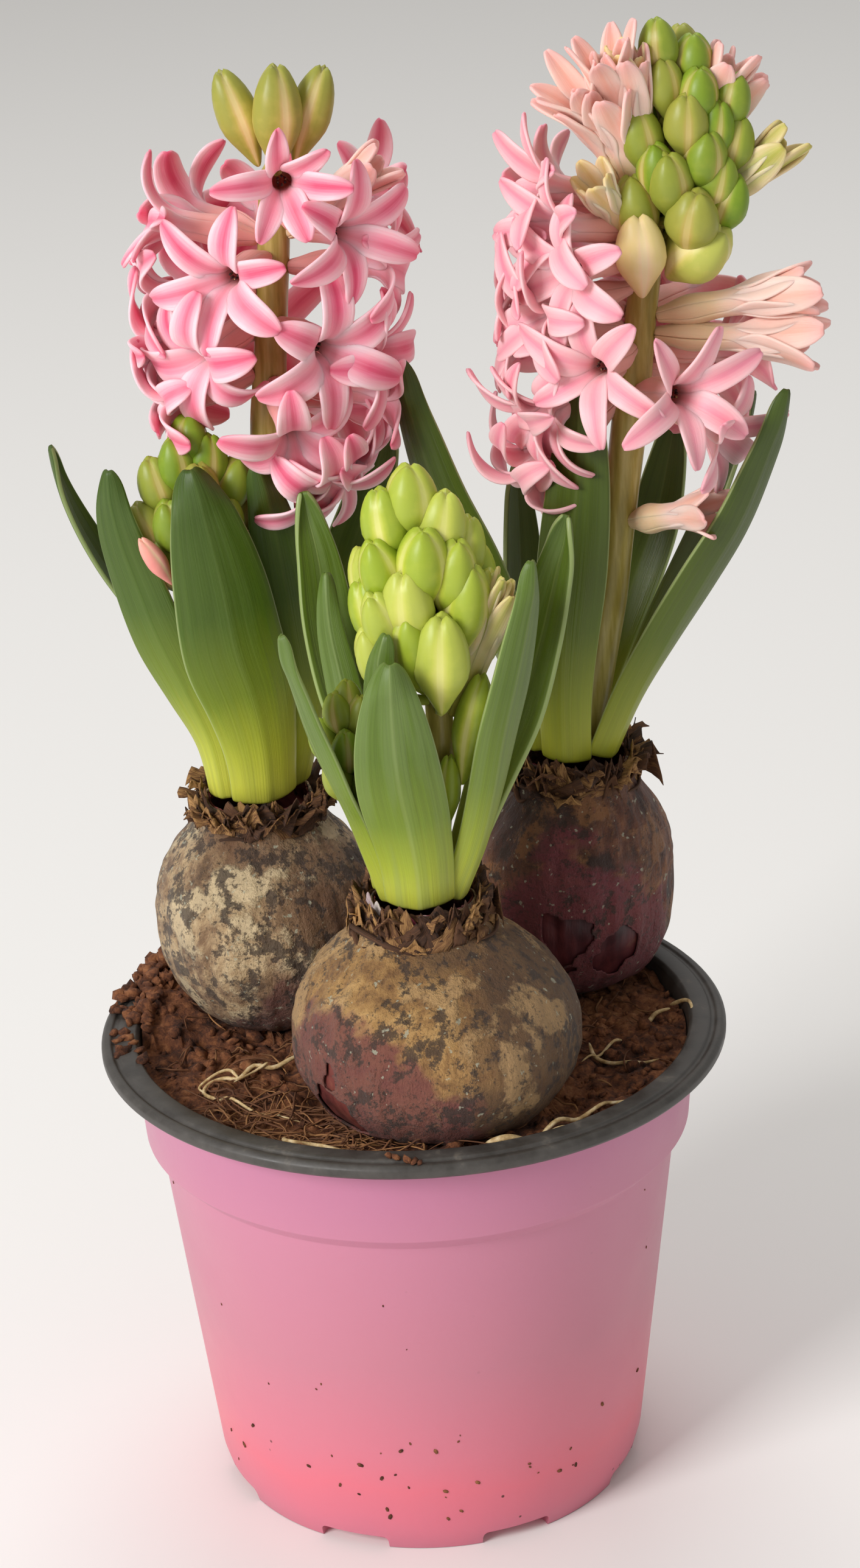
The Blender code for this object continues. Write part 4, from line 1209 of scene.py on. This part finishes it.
# Height of the face, bearing, reach to the throat, rise, lobe length, flare at the tips, roll and breadth.
FLORETS = {
    "left": [
        (279, 275, 16, 4, 15.5, 74, -5, 3.0), (268, 313, 17, 0, 17.5, 112, 35, 3.5),
        (261, 245, 17, 0, 17.5, 108, 20, 3.3), (246, 303, 17, -6, 18.5, 125, 24, 3.9),
        (245, 226, 16, -14, 18.0, 165, 12, 3.9), (230, 288, 14, -24, 17.0, 140, 40, 3.7),
        (268, 185, 18, 12, 15.0, 95, 15, 2.7), (254, 182, 19, 0, 16.5, 128, 50, 3.5),
        (243, 172, 19, -6, 16.5, 145, 5, 3.6), (259, 350, 18, 2, 17.0, 122, 30, 3.5),
        (242, 342, 18, -5, 17.5, 135, 0, 3.7), (232, 5, 18, -10, 17.0, 140, 20, 3.7),
        (222, 330, 15, -30, 17.5, 145, 10, 3.9), (219, 312, 14, -36, 17.0, 160, 35, 3.8),
        (264, 95, 18, 0, 17.0, 115, 0, 3.5), (250, 125, 18, 0, 17.0, 125, 45, 3.5),
        (240, 90, 18, -5, 17.0, 135, 15, 3.5), (268, 40, 18, 5, 16.5, 115, 40, 3.5),
        (266, 140, 18, 5, 16.5, 115, 10, 3.5), (232, 150, 17, -14, 16.5, 140, 30, 3.5),
        (228, 50, 17, -16, 16.5, 135, 50, 3.5), (220, 345, 14, -30, 16.5, 140, 45, 3.5),
        (233, 190, 17, -14, 16.0, 150, 35, 3.5),
    ],
    "right": [
        (234, 291, 18, 10, 18.5, 92, 22, 3.1), (240, 243, 18, 2, 17.5, 108, -15, 3.2),
        (259, 225, 19, 0, 17.5, 118, 30, 3.2), (279, 200, 10, 46, 16.5, 34, 50, 2.9),
        (285, 216, 8.5, 58, 18.0, 29, 10, 2.9), (272, 192, 18, 12, 17.0, 88, 25, 3.0),
        (243, 183, 20, 0, 17.5, 125, 5, 3.3), (229, 200, 18, -20, 18.0, 125, 25, 3.3),
        (218, 174, 16, -36, 17.5, 165, 45, 3.3), (248, 350, 17, 9, 18.0, 13, 0, 4.0),
        (241, 350, 18, -2, 18.5, 19, 30, 4.0), (226, 322, 17, -16, 17.0, 98, 20, 3.0),
        (206, 322, 12, 12, 14.0, 26, 10, 2.5), (231, 40, 18, -10, 17.0, 128, 40, 3.3),
        (245, 62, 18, -4, 16.0, 125, 0, 3.2), (254, 115, 19, 0, 17.0, 115, 20, 3.2),
        (246, 90, 19, 0, 17.0, 125, 35, 3.2), (236, 25, 17, -8, 16.0, 130, 10, 3.2),
        (234, 120, 18, -8, 17.0, 130, 50, 3.3), (246, 145, 20, 0, 17.0, 120, 25, 3.3),
        (232, 80, 18, -8, 17.0, 130, 0, 3.3), (257, 183, 19, 2, 17.0, 118, 40, 3.3),
        (250, 208, 20, -4, 17.5, 118, 10, 3.3), (268, 150, 18, 8, 16.5, 108, 15, 3.2),
        (214, 186, 17, -40, 17.5, 165, 35, 3.3), (266, 213, 19, 8, 17.0, 100, 20, 3.1),
        (230, 212, 17, -18, 17.0, 132, 0, 3.2),
    ],
}


def make_florets(plant, finish):
    anthers = bmesh.new()
    for index, (height, bearing, reach, rise, lobe, flare, roll, breadth) in enumerate(FLORETS[plant]):
        rng = random.Random(100 + index)
        throat = on_axis(plant, height) + direction(bearing) * reach
        stalk_end = on_axis(plant, height - reach * math.tan(math.radians(rise))) + direction(bearing) * 3.0
        tube_length = (throat - stalk_end).length
        way = (throat - stalk_end).normalized()
        bm = bmesh.new()
        own = finish if flare > HALF_OPEN_BELOW else peach
        add_floret(bm, rng, stalk_end, way, tube_length, lobe, flare, roll, breadth)
        made = piece(f"floret_{plant}_{index + 1:02d}", bm, [own], "floret", f"florets_{plant}")
        thicken(made, 0.75)
        if flare > ANTHERS_FROM:
            add_anthers(anthers, rng, stalk_end, way, tube_length, roll)
    piece(f"anthers_{plant}", anthers, [anther_brown], "floret", f"florets_{plant}", closed=False)
    print(plant, "spike:", len(FLORETS[plant]), "florets")


make_florets("left", deep_pink)
make_florets("right", pale_pink)

# %% [markdown]
# ## The half-open flowers
# Near the top of a spike the flowers are still folded: long, peach coloured, and green along the keels.
# They are the same six tepals with almost no flare.
# %% The half-open flowers
# Piece, CAD node, plant, finish, then for each flower: height of its foot, bearing, rise, tube, lobe, flare
# and breadth.
HALF_OPEN = [
    ("left", "half_open_left", "left", peach, [(265, 348, 36, 10, 16, 12, 3.3)]),
    ("front", "half_open_front", "front", green_peach, [
        (181, 333, 70, 11, 18, 3, 2.6), (179, 340, 64, 14, 18, 5, 2.0),
    ]),
    ("right_upper", "half_open_right_upper", "right", peach, [
        (271, 236, 74, 12, 18, 12, 3.4), (268, 222, 66, 12, 17, 22, 3.1), (271, 205, 56, 14, 18, 34, 2.9),
    ]),
    ("right_upper_tips", "half_open_right_upper", "right", yellow_peach, [
        (273, 228, 76, 12, 16, 8, 3.0), (259, 226, 50, 11, 13, 9, 2.9),
    ]),
    ("right_side", "half_open_right_side", "right", peach, [
        (272, 352, 62, 12, 17, 13, 3.3), (268, 8, 54, 14, 18, 12, 3.2), (268, 25, 60, 12, 16, 16, 3.2),
    ]),
    ("right_side_green", "half_open_right_side", "right", green_peach, [(259, 352, 40, 15, 19, 6, 3.5)]),
]
for name, node_name, plant, finish, flowers in HALF_OPEN:
    bm = bmesh.new()
    for index, (height, bearing, rise, tube_length, lobe, flare, breadth) in enumerate(flowers):
        way = direction(bearing, rise)
        foot = on_axis(plant, height) + direction(bearing) * 2.5
        rng = random.Random(40 + index)
        add_floret(bm, rng, foot, way, tube_length, lobe, flare, 20 * index, breadth)
    thicken(piece(f"folded_{name}", bm, [finish], "half_open", node_name), 0.8)

# %% [markdown]
# ## The buds: finish
# A closed bud is three outer tepals pressed over three inner ones. It is lime where light comes through
# its flanks, deeper green on the keels and at the tip, and yellow in the folds between.
# %% The buds: finish
def bud_finish(name, fold, flank, keel, tip):
    finish = new_finish(name)
    groove, along, tone = read_marks(finish)
    place = node(finish, "TexCoord").outputs["Object"]
    grain = node(finish, "TexNoise", {"Vector": place, "Scale": 380.0, "Detail": 4.0})
    uneven = node(finish, "Math", {0: grain, 1: 0.5, 2: groove}, operation="MULTIPLY_ADD")
    level = node(finish, "Math", {0: uneven, 1: 0.25}, operation="SUBTRACT")
    green = node(finish, "ValToRGB", {0: level}, [(0.0, keel), (0.3, flank), (0.85, fold)])
    seam = node(finish, "ValToRGB", {0: groove}, [(0.70, 0.0), (0.95, 0.55)])
    seamed = node(finish, "Mix", {FACTOR: seam, FIRST: green, SECOND: "#E9E4A6"})
    at_tip = node(finish, "ValToRGB", {0: along}, [(0.55, 0.0), (1.0, 0.7)])
    tipped = node(finish, "Mix", {FACTOR: at_tip, FIRST: seamed, SECOND: tip})
    riper = node(finish, "ValToRGB", {0: tone}, [(0.0, 0.0), (1.0, 0.45)])
    ripened = node(finish, "Mix", {FACTOR: riper, FIRST: tipped, SECOND: fold})
    return surface(finish, grain, 0.2, 0.0004, {
        "Base Color": ripened, "Roughness": 0.4, "IOR": 1.42,
    }, (0.2, (0.8, 1.0, 0.3), 0.0015))


lime_bud = bud_finish("lime_bud", "#D9D672", "#B6BF3C", "#94A828", "#9CB030")
green_bud = bud_finish("green_bud", "#BFA65A", "#94A432", "#70901E", "#7E9A24")
yellow_bud = bud_finish("yellow_green_bud", "#E6C68C", "#BDB04E", "#929428", "#76861E")
ripe_bud = bud_finish("ripe_yellow_bud", "#EEDC9A", "#D4CB66", "#B2BA48", "#B4BC4C")
salmon_bud = bud_finish("salmon_bud", "#F6BFA6", "#F2A294", "#EC8C88", "#F4B09E")
peach_bud = bud_finish("peach_bud", "#F4D6B0", "#EDD29A", "#E2CC84", "#E6D290")

# %% [markdown]
# A bud is a sphere drawn out into an egg. Three folds are pressed in down its length and three keels are
# raised between them. The buds overlap like scales on a cone, each on a short stalk from the stem.
# %% The buds: shape
def add_bud(bm, foot, way, width, length, roll, tone):
    """Adds a closed bud: an egg with three folds down it, drawn in at its foot."""
    side_mark, along_mark, tone_mark = marks(bm)
    made = bmesh.ops.create_uvsphere(bm, u_segments=30, v_segments=16, radius=1)["verts"]
    stand = aimed(foot, way, roll)
    for vertex in made:
        up = 0.5 * (vertex.co.z + 1)
        turn = math.atan2(vertex.co.y, vertex.co.x)
        fold = (0.5 + 0.5 * math.cos(3 * turn)) ** 6
        keel = (0.5 - 0.5 * math.cos(3 * turn)) ** 4
        belly = mix(0.5, 1.0, ease(0.0, 0.5, up)) - 0.04 * ease(0.7, 1.0, up)
        cut = 1 - 0.11 * fold * ease(0.05, 0.5, up) + 0.06 * keel * ease(0.1, 0.5, up)
        vertex.co.x *= 0.5 * width * belly * cut
        vertex.co.y *= 0.5 * width * belly * cut
        crown = ease(0.82, 0.97, up)
        vertex.co.z = length * (up + crown * (0.02 * keel - 0.035 * fold - 0.02 * ease(0.985, 1.0, up)))
        vertex[side_mark] = fold
        vertex[along_mark] = up
        vertex[tone_mark] = tone
        vertex.co = stand @ vertex.co


# Plant, finish, shift off the stem, then for each bud: height of its middle, bearing, reach, rise, width
# and length.
CLUSTERS = {
    "buds_front": ("front", lime_bud, (0, 0, 0), [
        (222, 268, 2.5, 86, 10.4, 17), (218, 212, 6, 78, 9.2, 17), (217, 325, 6, 78, 9.6, 17),
        (211, 276, 8, 78, 10.6, 18), (208, 312, 9, 77, 9.6, 18), (203, 252, 9.5, 74, 10.4, 19),
        (209, 220, 9, 72, 9.2, 17), (199, 228, 11, 62, 9.4, 20), (202, 316, 10.5, 77, 9.6, 20),
        (211, 352, 8, 75, 9.2, 17), (200, 348, 10.5, 73, 9.2, 18), (193, 279, 11.5, 80, 11, 22),
        (192, 216, 12, 66, 9.4, 18), (200, 200, 10, 68, 9.2, 18), (195, 250, 10.5, 70, 8.8, 18),
        (218, 90, 4.5, 82, 9.0, 17), (213, 130, 7, 77, 9.2, 17), (212, 45, 7, 77, 9.2, 17),
        (206, 85, 9, 75, 9.4, 18), (204, 165, 9.5, 73, 9.4, 18), (203, 15, 9.5, 73, 9.4, 18),
        (198, 120, 10, 71, 9.4, 18), (197, 60, 10, 71, 9.4, 18), (193, 95, 9, 70, 9.0, 18),
        (193, 150, 9.5, 70, 9.0, 18), (191, 30, 9.5, 70, 9.0, 18), (177, 322, 8, 76, 7.6, 25),
        (164, 296, 4.5, 82, 5.2, 16),
    ]),
    "buds_right": ("right", green_bud, (4.2, 0, -3), [
        (301, 215, 6.5, 84, 7.8, 13), (298, 298, 3, 86, 8.2, 12), (294, 237, 7, 80, 7.4, 13),
        (292, 291, 7, 80, 8.4, 13), (290, 337, 10, 78, 7.8, 13), (287, 273, 8.5, 76, 8.8, 14),
        (285, 312, 9, 76, 7.6, 14), (284, 220, 10, 78, 8.4, 15), (280, 295, 9.5, 72, 8.8, 14),
        (282, 335, 11, 74, 8.0, 13), (276, 256, 10, 72, 9.2, 15), (270, 222, 11, 80, 9.2, 17),
        (269, 283, 11, 66, 10.6, 15), (271, 323, 11.5, 68, 8.4, 14), (278, 240, 9.5, 74, 8.2, 14),
        (275, 312, 10, 70, 8.2, 14), (298, 90, 4, 82, 8.0, 13), (294, 140, 6, 80, 8.0, 13),
        (293, 45, 6, 80, 8.0, 13), (288, 90, 8, 76, 8.6, 14), (287, 180, 8, 76, 8.6, 14),
        (286, 15, 9, 74, 8.6, 14), (280, 60, 9, 72, 8.8, 14), (280, 120, 9, 72, 8.8, 14),
        (278, 190, 9, 74, 8.8, 15), (273, 90, 10, 70, 9.0, 15), (273, 150, 10, 70, 9.0, 15),
        (274, 30, 10, 68, 9.0, 15), (268, 60, 10, 66, 9.0, 15), (267, 120, 10, 66, 9.0, 15),
    ]),
    "buds_left_young": ("left_young", green_bud, (2.0, -3.0, 3.0), [
        (222, 275, 1, 88, 8.4, 14), (218, 235, 4, 80, 8.2, 14), (218, 325, 4, 80, 8.2, 14),
        (214, 205, 7, 74, 8.2, 14), (213, 285, 6, 74, 9.0, 15), (213, 345, 8, 72, 8.4, 14),
        (206, 240, 7, 68, 9.0, 15), (206, 312, 8, 66, 9.0, 15), (205, 200, 9, 66, 8.6, 14),
        (217, 90, 4, 80, 7.4, 13), (213, 130, 6, 74, 7.6, 13), (212, 50, 6, 74, 7.6, 13),
        (206, 90, 7, 66, 8.0, 14), (206, 150, 7, 66, 8.0, 14), (206, 10, 9, 66, 8.4, 14),
        (198, 215, 8, 64, 8.4, 14), (197, 272, 7, 64, 8.4, 14), (198, 340, 8, 64, 8.4, 14),
    ]),
    "buds_front_young": ("front_young", green_bud, (0, 0, 0), [
        (182, 270, 0.5, 88, 6.0, 10), (180, 230, 2.5, 78, 6.0, 11), (179, 320, 2.5, 78, 6.0, 11),
        (178, 90, 2.5, 78, 5.6, 10), (174, 190, 4, 70, 6.4, 12), (173, 270, 4, 70, 6.4, 12),
        (173, 350, 4, 70, 6.4, 12), (172, 50, 4, 70, 5.6, 10), (172, 130, 4, 70, 5.6, 10),
        (167, 230, 4, 68, 6.2, 12), (166, 310, 4, 68, 6.2, 12),
    ]),
}
for name, (plant, finish, shift, buds) in CLUSTERS.items():
    rng = random.Random(len(name))
    bm = bmesh.new()
    for height, bearing, reach, rise, width, length in buds:
        way = direction(bearing, rise)
        foot = on_axis(plant, height) + Vector(shift) + direction(bearing) * reach - way * length / 2
        add_bud(bm, foot, way, width, length, rng.uniform(0, 120), rng.random())
        stalk_start = on_axis(plant, foot.z - 2)
        stalk = [stalk_start, (stalk_start + foot) / 2, foot + way]
        tube(bm, stalk, lambda t: 1.1 * (1 - (2 * t - 1) ** 8), 6, 5, 0.5)
    piece(f"closed_{name}", bm, [finish], "bud", name)
    print(name, len(buds), "buds")

# %% [markdown]
# Three tall buds crown the left spike, and two under the right one have already swollen and turned
# yellow. They are the same egg with its folds, longer or fatter, in a riper finish.
# %% The buds: crown and yellow ones
for name in ("bud_left_west", "bud_left_middle", "bud_left_east"):
    low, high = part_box(name)
    middle = (low + high) / 2 / MM
    lean = middle.x - on_axis("left", 279).x
    width, length = (9.8, 21.5) if name == "bud_left_middle" else (8.4, 20.5)
    way = Vector((lean * 0.9, -1.5, 21)).normalized()
    bm = bmesh.new()
    add_bud(bm, middle - way * 13.8, way, width, length, 30 + 4 * lean, 0.3)
    piece(f"crown_{name}", bm, [yellow_bud], "bud", name)

RIPE = [  # finish, height of its middle, bearing, reach, rise, width, length and roll
    (ripe_bud, 259, 322, 11, 40, 12.4, 17.5, 50), (peach_bud, 260, 257, 11, 78, 10.0, 18, 50),
]
for index, (finish, height, bearing, reach, rise, width, length, roll) in enumerate(RIPE):
    way = direction(bearing, rise)
    foot = on_axis("right", height) + direction(bearing) * reach - way * length / 2
    bm = bmesh.new()
    add_bud(bm, foot, way, width, length, roll, 0.3)
    piece(f"ripe_bud_right_{index + 1}", bm, [finish], "bud", "buds_right")

# One slim bud of the young left stem already shows pink between two leaves.
way = direction(205, 60)
foot = on_axis("left_young", 204) + direction(249) * 14.5 - way * 6
bm = bmesh.new()
add_bud(bm, foot, way, 4.2, 12.5, 10, 0.3)
tube(bm, [on_axis("left_young", 192), foot], lambda t: 0.7 if 0.01 < t < 0.99 else 0.0, 8, 8)
piece("pink_bud_left_young", bm, [salmon_bud], "bud", "buds_left_young")

# %% [markdown]
# ## The roots
# A few loose roots lie on the soil. They are thin cream cords, thicker near the bulb, and their surface
# is finely wrinkled.
# %% The roots
def root_finish():
    finish = new_finish("dry_root")
    place = node(finish, "TexCoord").outputs["Object"]
    grain = node(finish, "TexNoise", {"Vector": place, "Scale": 420.0, "Detail": 5.0, "Roughness": 0.65})
    cream = node(finish, "ValToRGB", {0: grain}, [(0.36, "#9C7C4E"), (0.52, "#CDAF7C"), (0.68, "#EAD6AE")])
    return surface(finish, grain, 0.6, 0.0005, {
        "Base Color": cream, "Roughness": 0.6,
    }, (0.1, (1.0, 0.7, 0.4), 0.001))


cream_root = root_finish()
ROOTS = {  # strands: points as (x, y, height above the soil), radius
    "root_left": [
        ([(-20, -8, 2.5), (-25, -12, 3.0), (-29, -14, 1.4), (-33, -14, 1.6), (-36, -18, 0.9),
          (-39, -17, 1.3), (-42, -19, 0.8), (-43, -23, 1.2), (-40, -27, 0.7), (-37, -29, 1.2),
          (-32, -33, 0.6), (-28, -34, 1.0), (-22, -37, 0.7)], 0.55),
        ([(-36, -18, 1.0), (-38, -16, 2.0), (-41, -17, 1.6), (-44, -20, 0.6), (-43, -23, 1.4)], 0.4),
        ([(-30, -14, 2.4), (-33, -16, 1.6), (-37, -21, 1.8)], 0.35),
    ],
    "root_front": [
        ([(13, -52, 1.2), (18, -52, 1.8), (23, -50, 1.3), (28, -49, 1.6), (33, -45, 0.9),
          (40, -40, 0.8)], 0.95),
        ([(24, -49, 1.6), (28, -45, 1.3), (32, -42, 1.4), (37, -38, 0.9), (40, -36, 1.0),
          (46, -34, 0.8)], 0.55),
        ([(-26, -44, 1.0), (-26, -47, 2.2), (-24, -50, 2.6), (-20, -50, 1.8), (-18, -52, 2.2),
          (-14, -53, 1.4), (-10, -55, 1.2)], 0.65),
    ],
    "root_right": [
        ([(36, -10, 1.6), (37, -14, 1.0), (40, -17, 1.2), (44, -18, 0.8), (47, -17, 1.1),
          (50, -18, 0.7)], 0.5),
        ([(43, -8, 1.0), (41, -11, 1.6), (38, -13, 1.2), (36, -16, 1.5), (34, -18, 0.8)], 0.35),
        ([(54, 8, 1.2), (57, 5, 2.6), (58, 1, 3.8), (58, -3, 3.6)], 0.5),
        ([(49, 2, 0.8), (51, 4, 1.3), (54, 5, 1.0)], 0.6),
    ],
}
for name, strands in ROOTS.items():
    bm = bmesh.new()
    for index, (points, radius) in enumerate(strands):
        spots = [Vector((x, y, soil_height(x, y) + lift)) for x, y, lift in points]
        tube(bm, spots, lambda t: radius * (1 - 0.45 * t) * (1 - abs(2 * t - 1) ** 10), 8, 40, 0.2 * index)
    piece(f"strands_{name}", bm, [cream_root], "root", name)

# %% [markdown]
# ## The floor
# The plant stands on a plain pale floor, which isn't part of the object.
# %% The floor
floor_finish = new_finish("pale_floor")
floor_shader = node(floor_finish, "BsdfPrincipled", {"Base Color": "#F1EFEC", "Roughness": 0.85})
node(floor_finish, "OutputMaterial", {"Surface": floor_shader})
floor_mesh = bmesh.new()
bmesh.ops.create_grid(floor_mesh, x_segments=1, y_segments=1, size=6)
floor_data = bpy.data.meshes.new("floor")
floor_mesh.to_mesh(floor_data)
floor_mesh.free()
floor_data.materials.append(floor_finish)
shown("floor", floor_data)
